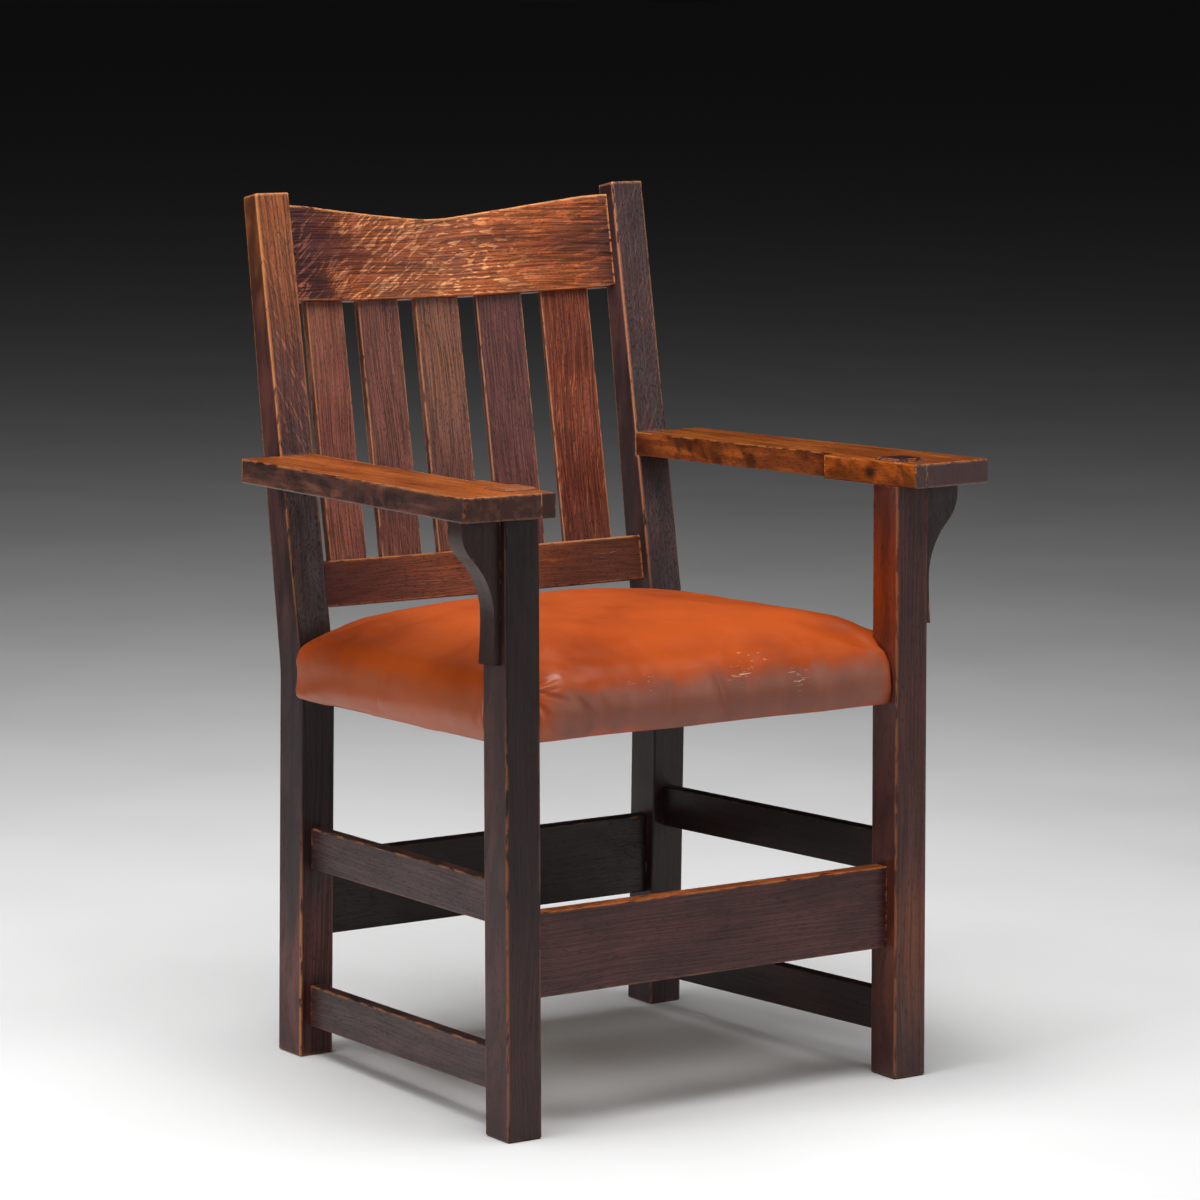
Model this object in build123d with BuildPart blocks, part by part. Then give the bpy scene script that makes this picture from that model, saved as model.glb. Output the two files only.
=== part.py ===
from build123d import *
from math import atan, cos, degrees, radians, sin, sqrt, tan
import os

os.makedirs("parts", exist_ok=True)

# Overall stance, in millimetres and degrees
overall_height = 914.4
front_width = 534.0
rear_width = 502.6
frame_depth = 405.3
sit_back = 1.66
steep_angle = 30.0
overrun = 10.0

# Posts
post_size = 41.3
post_ease = 2.4
end_ease = 2.0
rear_post_depth = 44.4
bend_height = 427.0
bend_radius = 160.0
foot_kick = 12.0
front_rake = 9.36
rear_rake = 7.33
top_fall = 10.9
arm_tenon = 38.0
tenon_proud = 3.0
tenon_bevel = 2.2

# Joinery
fit = 0.1
end_room = 0.6
tenon_length = 19.0
tenon_thickness = 9.5

# Arms
arm_top = 653.6
arm_thickness = 25.4
arm_width = 88.9
arm_edge_in_post = 13.1
arm_overhang = 28.0
arm_housing = 0.6
arm_ease = 2.0
strip_width = 15.5
strip_length = 142.0
dowel_diameter = 9.5
dowel_spacing = 20.0
dowel_in_arm = 32.0
dowel_in_post = 18.0

# Corbels
corbel_thickness = 25.0
corbel_setback = 8.3
corbel_height = 146.8
corbel_reach = 46.2
corbel_nose = 10.0
corbel_knee_reach = 33.0
corbel_knee_drop = 41.0
corbel_waist_reach = 8.0
corbel_waist_drop = 99.7
corbel_tail_reach = 10.4

# Stretchers
board_ease = 1.4
deep_stretcher_height = 86.5
deep_stretcher_thickness = 20.0
deep_stretcher_bottom = 140.0
front_stretcher_setback = 14.5
rear_stretcher_setback = 12.0
side_stretcher_height = 44.4
side_stretcher_thickness = 15.1
upper_stretcher_bottom = 214.9
lower_stretcher_bottom = 44.3
deep_tenon_shoulder = 14.0
side_tenon_shoulder = 5.5

# Bowed back
back_radius = 625.0
back_setback = 12.3
back_thickness = 22.0
crest_drop = 12.2
crest_height = 102.8
crest_dip = 18.4
crest_flat = 26.0
crest_end_radius = 300.0
crest_dip_radius = 270.0
lower_rail_bottom = 66.8
lower_rail_height = 49.6
back_tenon_shoulder = 7.0
slat_count = 5
slat_width = 56.0
slat_thickness = 8.0
slat_pitch = 79.6
slat_setback = 7.0
slat_ease = 1.0
slat_tenon = 12.0

# Seat frame
seat_bottom = 400.0
leather = 2.0
seat_rail_height = 36.0
seat_rail_thickness = 22.0
seat_rail_cover = 8.0
seat_tenon_length = 14.0
seat_tenon_shoulder = 6.0
block_leg = 62.0
block_height = 29.0
block_drop = 3.0
screw_diameter = 4.0
screw_length = 32.0
screw_head = 8.0
screw_sink = 45.0
screw_offset = 15.0
screw_in_block = 17.0
screw_stagger = 6.5

# Seat upholstery
seat_front_setback = 6.0
seat_rear_setback = 9.0
seat_front_inset = 1.0
seat_rear_bulge = 4.5
seat_corner = 14.0
post_clearance = 0.4
soft_clearance = 0.3
webbing_width = 50.0
webbing_thickness = 1.5
webbing_margin = 3.0
long_webbing_count = 6
long_webbing_pitch = 72.0
cross_webbing_count = 5
cross_webbing_pitch = 74.0
burlap_thickness = 1.0
crown_height = 97.0
cover_lip = 20.0
tack_head = 7.0
tack_head_height = 1.0
tack_shank = 1.6
tack_length = 9.0
tack_pitch = 46.0
tack_inset = 7.0

# Rise of each crown contour, as a share of the crown height, then how far it is drawn in, as shares of
# the seat's half width, of its front slope and of its rear slope, and the growth of its corners, as a
# share of its half depth
crown_shares = (
    (0.000, 0.016, 0.032, 0.050, 0.000),
    (0.070, 0.004, 0.008, 0.013, 0.000),
    (0.220, 0.000, 0.000, 0.000, 0.000),
    (0.390, 0.002, 0.006, 0.006, 0.020),
    (0.520, 0.013, 0.050, 0.040, 0.070),
    (0.620, 0.036, 0.150, 0.110, 0.150),
    (0.720, 0.080, 0.290, 0.220, 0.220),
    (0.820, 0.158, 0.490, 0.380, 0.280),
    (0.900, 0.270, 0.720, 0.600, 0.310),
    (0.960, 0.420, 0.960, 0.860, 0.330),
    (1.000, 0.620, 1.300, 1.250, 0.340),
)
front_slope = 134.0
rear_slope = 82.0

# The chair's own frame: depth runs back from the front faces of the front posts, height runs up them.
# The whole frame leans back by sit_back, and its feet are cut level with the floor.
lean = radians(sit_back)
rake_tan = tan(radians(front_rake))
back_lean = lean + radians(front_rake)
arm_bottom = arm_top - arm_thickness
front_x = front_width / 2 - post_size / 2
rear_x = rear_width / 2 - post_size / 2
front_inner = front_width / 2 - post_size
rear_inner = rear_width / 2 - post_size
arm_back = frame_depth + (arm_top - bend_height) * rake_tan + arm_housing
splay = atan((front_inner + arm_edge_in_post - rear_inner) / (arm_back - post_size / 2))
post_height = (overall_height + (frame_depth - bend_height * rake_tan) * sin(lean)) / (
    cos(lean) - rake_tan * sin(lean)
)
upper_rise = post_height - bend_height
top_depth = rear_post_depth - upper_rise * (rake_tan - tan(radians(rear_rake)))
top_front = frame_depth + upper_rise * rake_tan
top_back_height = post_height - top_depth * tan(radians(top_fall))
crest_bottom = upper_rise / cos(radians(front_rake)) - crest_drop - crest_height
front_reach = (arm_overhang + strip_width * sin(splay)) * cos(lean) - (arm_bottom + arm_ease) * sin(lean)
bow_centre = back_setback - sqrt(back_radius**2 - rear_inner**2)
crest_back = bow_centre + back_radius + back_thickness
crest_rise = crest_bottom + crest_height - crest_dip
rear_reach = frame_depth * cos(lean) + bend_height * sin(lean)
rear_reach += crest_back * cos(back_lean) + crest_rise * sin(back_lean)
chair = Plane(
    origin=(0, (front_reach - rear_reach) / 2, 0), x_dir=(1, 0, 0), z_dir=(0, sin(lean), cos(lean))
)


def place(x, depth, height):
    """A point of the chair's own frame, in the room's frame."""
    return chair.from_local_coords(Vector(x, depth, height))


def side_view(x):
    """Upright plane across the chair at x: depth to the right, height up."""
    return Plane(origin=place(x, 0, 0), x_dir=chair.y_dir, z_dir=chair.x_dir)


def front_view(depth):
    """Upright plane seen from the front at a depth: x to the right, height up."""
    return Plane(origin=place(0, depth, 0), x_dir=chair.x_dir, z_dir=-chair.y_dir)


def upright_along(start, end):
    """Upright plane through two points of the plan: along the board to the right, height up."""
    course = place(*end, 0) - place(*start, 0)
    return Plane(origin=place(*start, 0), x_dir=course, z_dir=course.cross(chair.z_dir))


def runs_upwards(edge):
    """Whether an edge runs up the chair rather than along or across it."""
    return abs((edge @ 1 - edge @ 0).normalized().dot(chair.z_dir)) > cos(radians(steep_angle))


def runs_across(edge):
    """Whether an edge runs across the chair."""
    return abs((edge @ 1 - edge @ 0).normalized().dot(chair.x_dir)) > cos(radians(steep_angle))


def keep(piece, name):
    """Label a finished piece and write its file."""
    piece.part.label = name
    export_step(piece.part, os.path.join("parts", name + ".step"))


def bar(plane, length, near, far, bottom, top, thickness, reach=0.0, ease=0.0):
    """A straight board on an upright plane, cut off at two faces or reach beyond them."""
    with BuildPart() as stock:
        with BuildSketch(plane):
            with Locations((length / 2, (bottom + top) / 2)):
                Rectangle(length + 2 * post_size, top - bottom)
        extrude(amount=thickness / 2, both=True)
        if ease:
            fillet(stock.edges().filter_by(Axis(plane.origin, plane.x_dir)), radius=ease)
        split(bisect_by=near.offset(-reach), keep=Keep.TOP)
        split(bisect_by=far.offset(-reach), keep=Keep.TOP)
    return stock.part


def rail_shapes(course, near, far, bottom, height, thickness, shoulder, reach):
    """The rail with its two tenons, and the longer, looser bar that cuts their mortises."""
    plane = upright_along(*course)
    length = (place(*course[1], 0) - place(*course[0], 0)).length
    top = bottom + height
    with BuildPart() as rail:
        add(bar(plane, length, near, far, bottom, top, thickness, ease=board_ease))
        add(bar(plane, length, near, far, bottom + shoulder, top - shoulder, tenon_thickness, reach))
    mortise = bar(
        plane, length, near, far, bottom + shoulder - fit, top - shoulder + fit,
        tenon_thickness + 2 * fit, reach + end_room,
    )
    return rail, mortise


# Faces that the rails are cut to
left_inner = Plane(origin=place(-front_inner, 0, 0), x_dir=chair.y_dir, z_dir=chair.x_dir)
right_inner = Plane(origin=place(front_inner, 0, 0), x_dir=chair.y_dir, z_dir=-chair.x_dir)
left_rear_inner = left_inner.offset(front_inner - rear_inner)
right_rear_inner = right_inner.offset(front_inner - rear_inner)
front_post_back = Plane(origin=place(0, post_size, 0), x_dir=chair.x_dir, z_dir=chair.y_dir)
leg_slope = atan(foot_kick / bend_height)
leg_front = Plane(
    origin=place(0, frame_depth, bend_height),
    x_dir=chair.x_dir,
    z_dir=-chair.y_dir * cos(leg_slope) - chair.z_dir * sin(leg_slope),
)


def leg_depth(height):
    """Depth of the rear leg's front face below the bend."""
    return frame_depth + foot_kick * (bend_height - height) / bend_height


# Stretchers between the posts
deep_middle = deep_stretcher_bottom + deep_stretcher_height / 2
front_stretcher_line = front_stretcher_setback + deep_stretcher_thickness / 2
rear_stretcher_line = leg_depth(deep_middle) + rear_stretcher_setback + deep_stretcher_thickness / 2
front_stretcher, front_stretcher_mortise = rail_shapes(
    ((-front_inner, front_stretcher_line), (front_inner, front_stretcher_line)),
    left_inner, right_inner, deep_stretcher_bottom, deep_stretcher_height,
    deep_stretcher_thickness, deep_tenon_shoulder, tenon_length,
)
rear_stretcher, rear_stretcher_mortise = rail_shapes(
    ((-rear_inner, rear_stretcher_line), (rear_inner, rear_stretcher_line)),
    left_rear_inner, right_rear_inner, deep_stretcher_bottom, deep_stretcher_height,
    deep_stretcher_thickness, deep_tenon_shoulder, tenon_length,
)
keep(front_stretcher, "front_stretcher")
keep(rear_stretcher, "rear_stretcher")

side_mortises = {-1: [], 1: []}
for side, word in ((-1, "left"), (1, "right")):
    for level, height in (("upper", upper_stretcher_bottom), ("lower", lower_stretcher_bottom)):
        stretcher, mortise = rail_shapes(
            ((side * front_x, post_size), (side * rear_x, leg_depth(height))),
            front_post_back, leg_front, height, side_stretcher_height,
            side_stretcher_thickness, side_tenon_shoulder, tenon_length,
        )
        side_mortises[side].append(mortise)
        keep(stretcher, f"{word}_{level}_stretcher")

# Seat frame: four rails tenoned into the posts
seat_rail_bottom = seat_bottom + leather
seat_rail_top = seat_rail_bottom + seat_rail_height
seat_front = seat_front_setback
seat_back = frame_depth + rear_post_depth - seat_rear_setback
front_rail_face = seat_front + seat_rail_cover
rear_rail_face = seat_back - seat_rail_cover
seat_front_half = front_width / 2 - seat_front_inset
seat_rear_half = rear_width / 2 + seat_rear_bulge


def seat_half(depth):
    """Half width of the seat at a depth, along its straight tapering sides."""
    share = (depth - seat_front) / (frame_depth - seat_front)
    return seat_front_half + (seat_rear_half - seat_front_half) * share


side_rail_front = (seat_half(post_size) - seat_rail_cover - seat_rail_thickness / 2, post_size)
side_rail_back = (seat_half(frame_depth) - seat_rail_cover - seat_rail_thickness / 2, frame_depth)
front_rail_line = front_rail_face + seat_rail_thickness / 2
rear_rail_line = rear_rail_face - seat_rail_thickness / 2
front_seat_rail, front_seat_mortise = rail_shapes(
    ((-front_inner, front_rail_line), (front_inner, front_rail_line)),
    left_inner, right_inner, seat_rail_bottom, seat_rail_height,
    seat_rail_thickness, seat_tenon_shoulder, seat_tenon_length,
)
rear_seat_rail, rear_seat_mortise = rail_shapes(
    ((-rear_inner, rear_rail_line), (rear_inner, rear_rail_line)),
    left_rear_inner, right_rear_inner, seat_rail_bottom, seat_rail_height,
    seat_rail_thickness, seat_tenon_shoulder, seat_tenon_length,
)
side_seat_rails = {}
for side in (-1, 1):
    side_seat_rails[side], mortise = rail_shapes(
        ((side * side_rail_front[0], side_rail_front[1]), (side * side_rail_back[0], side_rail_back[1])),
        front_post_back, leg_front, seat_rail_bottom, seat_rail_height,
        seat_rail_thickness, seat_tenon_shoulder, seat_tenon_length,
    )
    side_mortises[side].append(mortise)

# Bowed back: its rake plane lies on the raked front faces of the rear posts
rake = Plane(
    origin=place(0, frame_depth, bend_height),
    x_dir=chair.x_dir,
    z_dir=chair.y_dir * sin(radians(front_rake)) + chair.z_dir * cos(radians(front_rake)),
)


def bow(x, radius):
    """How far back a bowed face stands at x, for its radius."""
    return bow_centre + sqrt(radius**2 - x**2)


def bowed_rail(bottom, height, shoulder):
    """A bowed board between the rear posts with straight tenons, and the bars of its mortises."""
    end_line = (bow(rear_inner, back_radius) + bow(rear_inner, back_radius + back_thickness)) / 2
    with BuildPart() as board:
        with BuildSketch(rake.offset(bottom)):
            with BuildLine():
                inside = ThreePointArc(
                    (-rear_inner, bow(rear_inner, back_radius)),
                    (0, bow(0, back_radius)),
                    (rear_inner, bow(rear_inner, back_radius)),
                )
                outside = ThreePointArc(
                    (-rear_inner, bow(rear_inner, back_radius + back_thickness)),
                    (0, bow(0, back_radius + back_thickness)),
                    (rear_inner, bow(rear_inner, back_radius + back_thickness)),
                )
                Line(inside @ 0, outside @ 0)
                Line(inside @ 1, outside @ 1)
            make_face()
        extrude(amount=height)
    with BuildPart() as tongues:
        with BuildSketch(rake.offset(bottom + shoulder)):
            for side in (-1, 1):
                with Locations((side * (rear_inner + (tenon_length - tenon_thickness) / 2), end_line)):
                    Rectangle(tenon_length + tenon_thickness, tenon_thickness)
        extrude(amount=height - 2 * shoulder)
    with BuildPart() as sockets:
        with BuildSketch(rake.offset(bottom + shoulder - fit)):
            for side in (-1, 1):
                with Locations((side * (rear_inner + (tenon_length + end_room) / 2), end_line)):
                    Rectangle(tenon_length + end_room, tenon_thickness + 2 * fit)
        extrude(amount=height - 2 * shoulder + 2 * fit)
    return board, tongues, sockets


crest_board, crest_tongues, crest_sockets = bowed_rail(crest_bottom, crest_height, back_tenon_shoulder)
lower_board, lower_tongues, lower_sockets = bowed_rail(
    lower_rail_bottom, lower_rail_height, back_tenon_shoulder
)
slat_radius = back_radius + slat_setback + slat_thickness / 2
slat_start = lower_rail_bottom + lower_rail_height
slat_end = crest_bottom


def slat_bar(index, reach, room):
    """One slat turned to the bow, reaching into both rails, with room round it."""
    turn = (index - (slat_count - 1) / 2) * slat_pitch / slat_radius
    centre = (slat_radius * sin(turn), bow_centre + slat_radius * cos(turn))
    with BuildPart() as slat:
        with BuildSketch(rake.offset(slat_start - reach)):
            with Locations(Location((centre[0], centre[1], 0), (0, 0, -degrees(turn)))):
                RectangleRounded(slat_width + 2 * room, slat_thickness + 2 * room, slat_ease + room)
        extrude(amount=slat_end - slat_start + 2 * reach)
    return slat


slat_mortises = []
for index in range(slat_count):
    slat = slat_bar(index, slat_tenon, 0.0)
    slat_mortises.append(slat_bar(index, slat_tenon + end_room, fit).part)
    keep(slat, f"back_slat_{index + 1}")

with BuildPart() as crest_rail:
    add(crest_board.part)
    with BuildSketch(Plane(origin=rake.origin, x_dir=rake.x_dir, z_dir=-rake.y_dir)):
        with BuildLine():
            top = crest_bottom + crest_height
            flat_x = rear_inner - crest_flat
            edge = FilletPolyline(
                (-rear_inner, top), (-flat_x, top), (0, top - crest_dip), (flat_x, top), (rear_inner, top),
                radius=[crest_end_radius, crest_dip_radius, crest_end_radius],
            )
            Polyline(edge @ 0, (-rear_inner, crest_bottom), (rear_inner, crest_bottom), edge @ 1)
        make_face()
    extrude(amount=back_radius / 2, both=True, mode=Mode.INTERSECT)
    chamfer(crest_rail.edges().filter_by(runs_across), length=board_ease)
    add(crest_tongues.part)
    for mortise in slat_mortises:
        add(mortise, mode=Mode.SUBTRACT)
keep(crest_rail, "crest_rail")

with BuildPart() as lower_back_rail:
    add(lower_board.part)
    chamfer(lower_back_rail.edges().filter_by(runs_across), length=board_ease)
    add(lower_tongues.part)
    for mortise in slat_mortises:
        add(mortise, mode=Mode.SUBTRACT)
keep(lower_back_rail, "lower_back_rail")

# Arms: their inner edges start flush with the rear posts and splay outwards over the front posts
arm_length = (arm_back + arm_overhang) / cos(splay)
arm_middle = (arm_top + arm_bottom) / 2


def arm_plan(side, height):
    """Plan plane of one arm: X outwards from its inner edge, Y forwards along it."""
    forwards = -chair.y_dir * cos(splay) + chair.x_dir * side * sin(splay)
    outwards = chair.x_dir * side * cos(splay) + chair.y_dir * sin(splay)
    origin = place(side * rear_inner, arm_back, height)
    return Plane(origin=origin, x_dir=outwards, z_dir=outwards.cross(forwards))


def dowel_bores(side, length, start, diameter):
    """Two round bars along the arm's rear joint, from a depth forwards."""
    with BuildPart() as bores:
        with BuildSketch(front_view(start)):
            for step in (-1, 1):
                with Locations((side * rear_x + step * dowel_spacing / 2, arm_middle)):
                    Circle(diameter / 2)
        extrude(amount=length)
    return bores.part


arm_back_plane = Plane(origin=place(0, arm_back, 0), x_dir=chair.x_dir, z_dir=-chair.y_dir)
for side, word in ((-1, "left"), (1, "right")):
    plan = arm_plan(side, arm_middle)
    with BuildPart() as tenon_hole:
        with BuildSketch(chair.offset(arm_bottom)):
            with Locations((side * front_x, post_size / 2)):
                Rectangle(arm_tenon + 2 * fit, arm_tenon + 2 * fit)
        extrude(amount=arm_thickness)
    with BuildPart() as arm:
        with BuildSketch(plan):
            with Locations((arm_width / 2, (arm_length - overrun) / 2)):
                Rectangle(arm_width, arm_length + overrun)
        extrude(amount=arm_thickness / 2, both=True)
        uprights = arm.edges().filter_by(Axis(plan.origin, chair.z_dir))
        front_uprights = uprights.sort_by(Axis(plan.origin, plan.y_dir))[-2:]
        fillet(front_uprights.sort_by(Axis(plan.origin, plan.x_dir))[-1], radius=2 * arm_ease)
        outer_face = arm.faces().sort_by(Axis(plan.origin, plan.x_dir))[-1]
        front_face = arm.faces().sort_by(Axis(plan.origin, plan.y_dir))[-1]
        rims = outer_face.edges().filter_by(Axis(plan.origin, plan.y_dir))
        rims += front_face.edges().filter_by(Axis(plan.origin, plan.x_dir))
        fillet(rims, radius=arm_ease)
        split(bisect_by=arm_back_plane, keep=Keep.TOP)
        add(tenon_hole.part, mode=Mode.SUBTRACT)
        add(
            dowel_bores(side, dowel_in_arm + end_room, arm_back, dowel_diameter + 2 * fit),
            mode=Mode.SUBTRACT,
        )
    keep(arm, f"{word}_arm")
    with BuildPart() as strip:
        with BuildSketch(plan):
            with Locations((-strip_width / 2, arm_length - strip_length / 2)):
                Rectangle(strip_width, strip_length)
        extrude(amount=arm_thickness / 2, both=True)
        inner_face = strip.faces().sort_by(Axis(plan.origin, plan.x_dir))[0]
        end_face = strip.faces().sort_by(Axis(plan.origin, plan.y_dir))[-1]
        rims = inner_face.edges().filter_by(Axis(plan.origin, plan.y_dir))
        rims += end_face.edges().filter_by(Axis(plan.origin, plan.x_dir))
        fillet(rims, radius=arm_ease)
        add(tenon_hole.part, mode=Mode.SUBTRACT)
    keep(strip, f"{word}_arm_strip")

with BuildPart() as arm_dowels:
    for side in (-1, 1):
        add(dowel_bores(side, dowel_in_arm + dowel_in_post, arm_back + dowel_in_post, dowel_diameter))
keep(arm_dowels, "arm_dowels")

# Corbels: glued to the outer faces of the front posts, tight under the arms
for side, word in ((-1, "left"), (1, "right")):
    edge_x = side * front_width / 2
    with BuildPart() as corbel:
        with BuildSketch(front_view(corbel_setback)):
            with BuildLine():
                nose = Line(
                    (edge_x + side * corbel_reach, arm_bottom),
                    (edge_x + side * corbel_reach, arm_bottom - corbel_nose),
                )
                knee = TangentArc(
                    nose @ 1,
                    (edge_x + side * corbel_knee_reach, arm_bottom - corbel_knee_drop),
                    tangent=nose % 1,
                )
                waist = TangentArc(
                    knee @ 1,
                    (edge_x + side * corbel_waist_reach, arm_bottom - corbel_waist_drop),
                    tangent=knee % 1,
                )
                tail = TangentArc(
                    waist @ 1,
                    (edge_x + side * corbel_tail_reach, arm_bottom - corbel_height),
                    tangent=waist % 1,
                )
                Polyline(tail @ 1, (edge_x, arm_bottom - corbel_height), (edge_x, arm_bottom), nose @ 0)
            make_face()
        extrude(amount=-corbel_thickness)
    keep(corbel, f"{word}_corbel")

# Front posts: square legs with through tenons for the arms
for side, word in ((-1, "left"), (1, "right")):
    with BuildPart() as post:
        with BuildSketch(chair.offset(-overrun)):
            with Locations((side * front_x, post_size / 2)):
                RectangleRounded(post_size, post_size, post_ease)
        extrude(amount=overrun + arm_bottom)
        split(bisect_by=Plane.XY, keep=Keep.TOP)
        chamfer(post.faces().sort_by(Axis.Z)[0].edges(), length=end_ease)
        with BuildSketch(chair.offset(arm_bottom)):
            with Locations((side * front_x, post_size / 2)):
                Rectangle(arm_tenon, arm_tenon)
        extrude(amount=arm_thickness + tenon_proud)
        chamfer(post.faces().sort_by(Axis.Z)[-1].edges(), length=tenon_bevel)
        add(front_stretcher_mortise, mode=Mode.SUBTRACT)
        add(front_seat_mortise, mode=Mode.SUBTRACT)
        for mortise in side_mortises[side]:
            add(mortise, mode=Mode.SUBTRACT)
    keep(post, f"front_{word}_post")

# Rear posts: bent at the seat, thinner towards the top, notched for the arms
for side, word in ((-1, "left"), (1, "right")):
    with BuildPart() as post:
        with BuildSketch(side_view(side * rear_x)) as profile:
            with BuildLine():
                Polyline(
                    (frame_depth + foot_kick, 0),
                    (frame_depth, bend_height),
                    (top_front, post_height),
                    (top_front + top_depth, top_back_height),
                    (frame_depth + rear_post_depth, bend_height),
                    (frame_depth + rear_post_depth + foot_kick, 0),
                    close=True,
                )
            make_face()
            bends = profile.vertices().group_by(Axis(place(0, 0, 0), chair.z_dir))[1]
            fillet(bends, radius=bend_radius)
        extrude(amount=post_size / 2, both=True)
        split(bisect_by=Plane.XY, keep=Keep.TOP)
        long_edges = post.faces().filter_by(Axis.X).edges().filter_by(runs_upwards)
        end_faces = post.faces().sort_by(Axis.Z)
        fillet(long_edges + end_faces[0].edges() + end_faces[-1].edges(), radius=post_ease)
        add(rear_stretcher_mortise, mode=Mode.SUBTRACT)
        add(rear_seat_mortise, mode=Mode.SUBTRACT)
        for mortise in side_mortises[side]:
            add(mortise, mode=Mode.SUBTRACT)
        add(crest_sockets.part, mode=Mode.SUBTRACT)
        add(lower_sockets.part, mode=Mode.SUBTRACT)
        with BuildSketch(side_view(side * rear_x)):
            with Locations((arm_back, arm_middle)):
                Rectangle(2 * rear_post_depth, arm_thickness, align=(Align.MAX, Align.CENTER))
        extrude(amount=post_size / 2, both=True, mode=Mode.SUBTRACT)
        add(
            dowel_bores(
                side, dowel_in_post + end_room, arm_back + dowel_in_post + end_room, dowel_diameter + 2 * fit
            ),
            mode=Mode.SUBTRACT,
        )
    keep(post, f"rear_{word}_post")

# Corner blocks, fixed by screws to both of their rails
block_top = seat_rail_top - block_drop
block_middle = block_top - block_height / 2
rail_taper = atan((side_rail_front[0] - side_rail_back[0]) / (frame_depth - post_size))


def side_rail_line(depth):
    """Half distance between the side rails' centre lines at a depth."""
    share = (depth - post_size) / (frame_depth - post_size)
    return side_rail_front[0] + (side_rail_back[0] - side_rail_front[0]) * share


half_rail = seat_rail_thickness / 2 / cos(rail_taper)


def screw_and_bore(start, way):
    """A countersunk screw from a point, and its bore with the wider bore for the driver."""
    plane = Plane(origin=start, z_dir=way)
    with BuildPart() as screw:
        with BuildSketch(plane):
            Circle(screw_diameter / 2)
        extrude(amount=screw_length)
        with BuildSketch(plane):
            Circle(screw_head / 2)
        extrude(amount=(screw_head - screw_diameter) / 2, taper=screw_sink)
    with BuildPart() as bore:
        with BuildSketch(plane):
            Circle(screw_diameter / 2 + fit)
        extrude(amount=screw_length + end_room)
        with BuildSketch(plane):
            Circle(screw_head / 2 + fit)
        extrude(amount=(screw_head - screw_diameter) / 2, taper=screw_sink)
        with BuildSketch(plane):
            Circle(screw_head / 2 + fit)
        extrude(amount=-block_leg)
    return screw.part, bore.part


screws = []
rail_bores = {"front": [], "rear": [], -1: [], 1: []}
corners = (
    ("front", front_inner, post_size, front_rail_face + seat_rail_thickness, 1),
    ("rear", rear_inner, frame_depth, rear_rail_face - seat_rail_thickness, -1),
)
for end, corner_x, corner_depth, rail_depth, inwards in corners:
    for side, word in ((-1, "left"), (1, "right")):
        far_depth = corner_depth + inwards * block_leg
        end_screw = screw_and_bore(
            place(
                side * (corner_x - screw_offset),
                rail_depth + inwards * screw_in_block,
                block_middle - screw_stagger,
            ),
            -chair.y_dir * inwards,
        )
        side_depth = corner_depth + inwards * screw_offset
        side_screw = screw_and_bore(
            place(
                side * (side_rail_line(side_depth) - half_rail - screw_in_block),
                side_depth,
                block_middle + screw_stagger,
            ),
            chair.x_dir * side,
        )
        with BuildPart() as block:
            with BuildSketch(chair.offset(block_top - block_height)):
                with BuildLine():
                    Polyline(
                        (side * corner_x, rail_depth),
                        (side * (corner_x - block_leg), rail_depth),
                        (side * (side_rail_line(far_depth) - half_rail), far_depth),
                        (side * (side_rail_line(corner_depth) - half_rail), corner_depth),
                        (side * corner_x, corner_depth),
                        close=True,
                    )
                make_face()
            extrude(amount=block_height)
            add(end_screw[1], mode=Mode.SUBTRACT)
            add(side_screw[1], mode=Mode.SUBTRACT)
        keep(block, f"{end}_{word}_block")
        screws += [end_screw[0], side_screw[0]]
        rail_bores[end].append(end_screw[1])
        rail_bores[side].append(side_screw[1])
with BuildPart() as block_screws:
    for screw in screws:
        add(screw)
keep(block_screws, "block_screws")

# Tacks that hold the leather under the rails
tack_places = []


def tack_row(start, end):
    """Even tacks along a rail, half a pitch in from its ends."""
    course = Vector(*end) - Vector(*start)
    count = max(int(course.length / tack_pitch), 1)
    for step in range(count):
        spot = Vector(*start) + course * ((2 * step + 1) / (2 * count))
        tack_places.append((spot.X, spot.Y))


tack_side = seat_rail_thickness / 2 - tack_inset
tack_row((-front_inner, front_rail_face + tack_inset), (front_inner, front_rail_face + tack_inset))
tack_row((-rear_inner, rear_rail_face - tack_inset), (rear_inner, rear_rail_face - tack_inset))
for side in (-1, 1):
    tack_row(
        (side * (side_rail_front[0] + tack_side), side_rail_front[1]),
        (side * (side_rail_back[0] + tack_side), side_rail_back[1]),
    )
with BuildPart() as cover_tacks:
    with BuildSketch(chair.offset(seat_bottom - tack_head_height)):
        with Locations(*tack_places):
            Circle(tack_head / 2)
    extrude(amount=tack_head_height)
    with BuildSketch(chair.offset(seat_bottom)):
        with Locations(*tack_places):
            Circle(tack_shank / 2)
    extrude(amount=tack_length)
with BuildPart() as tack_bores:
    with BuildSketch(chair.offset(seat_bottom)):
        with Locations(*tack_places):
            Circle(tack_shank / 2 + fit)
    extrude(amount=tack_length + end_room)
keep(cover_tacks, "cover_tacks")

seat_rails = (
    ("front_seat_rail", front_seat_rail, "front"),
    ("rear_seat_rail", rear_seat_rail, "rear"),
    ("left_seat_rail", side_seat_rails[-1], -1),
    ("right_seat_rail", side_seat_rails[1], 1),
)
for name, rail, key in seat_rails:
    with BuildPart() as bored_rail:
        add(rail.part)
        add(tack_bores.part, mode=Mode.SUBTRACT)
        for bore in rail_bores[key]:
            add(bore, mode=Mode.SUBTRACT)
    keep(bored_rail, name)


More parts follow.
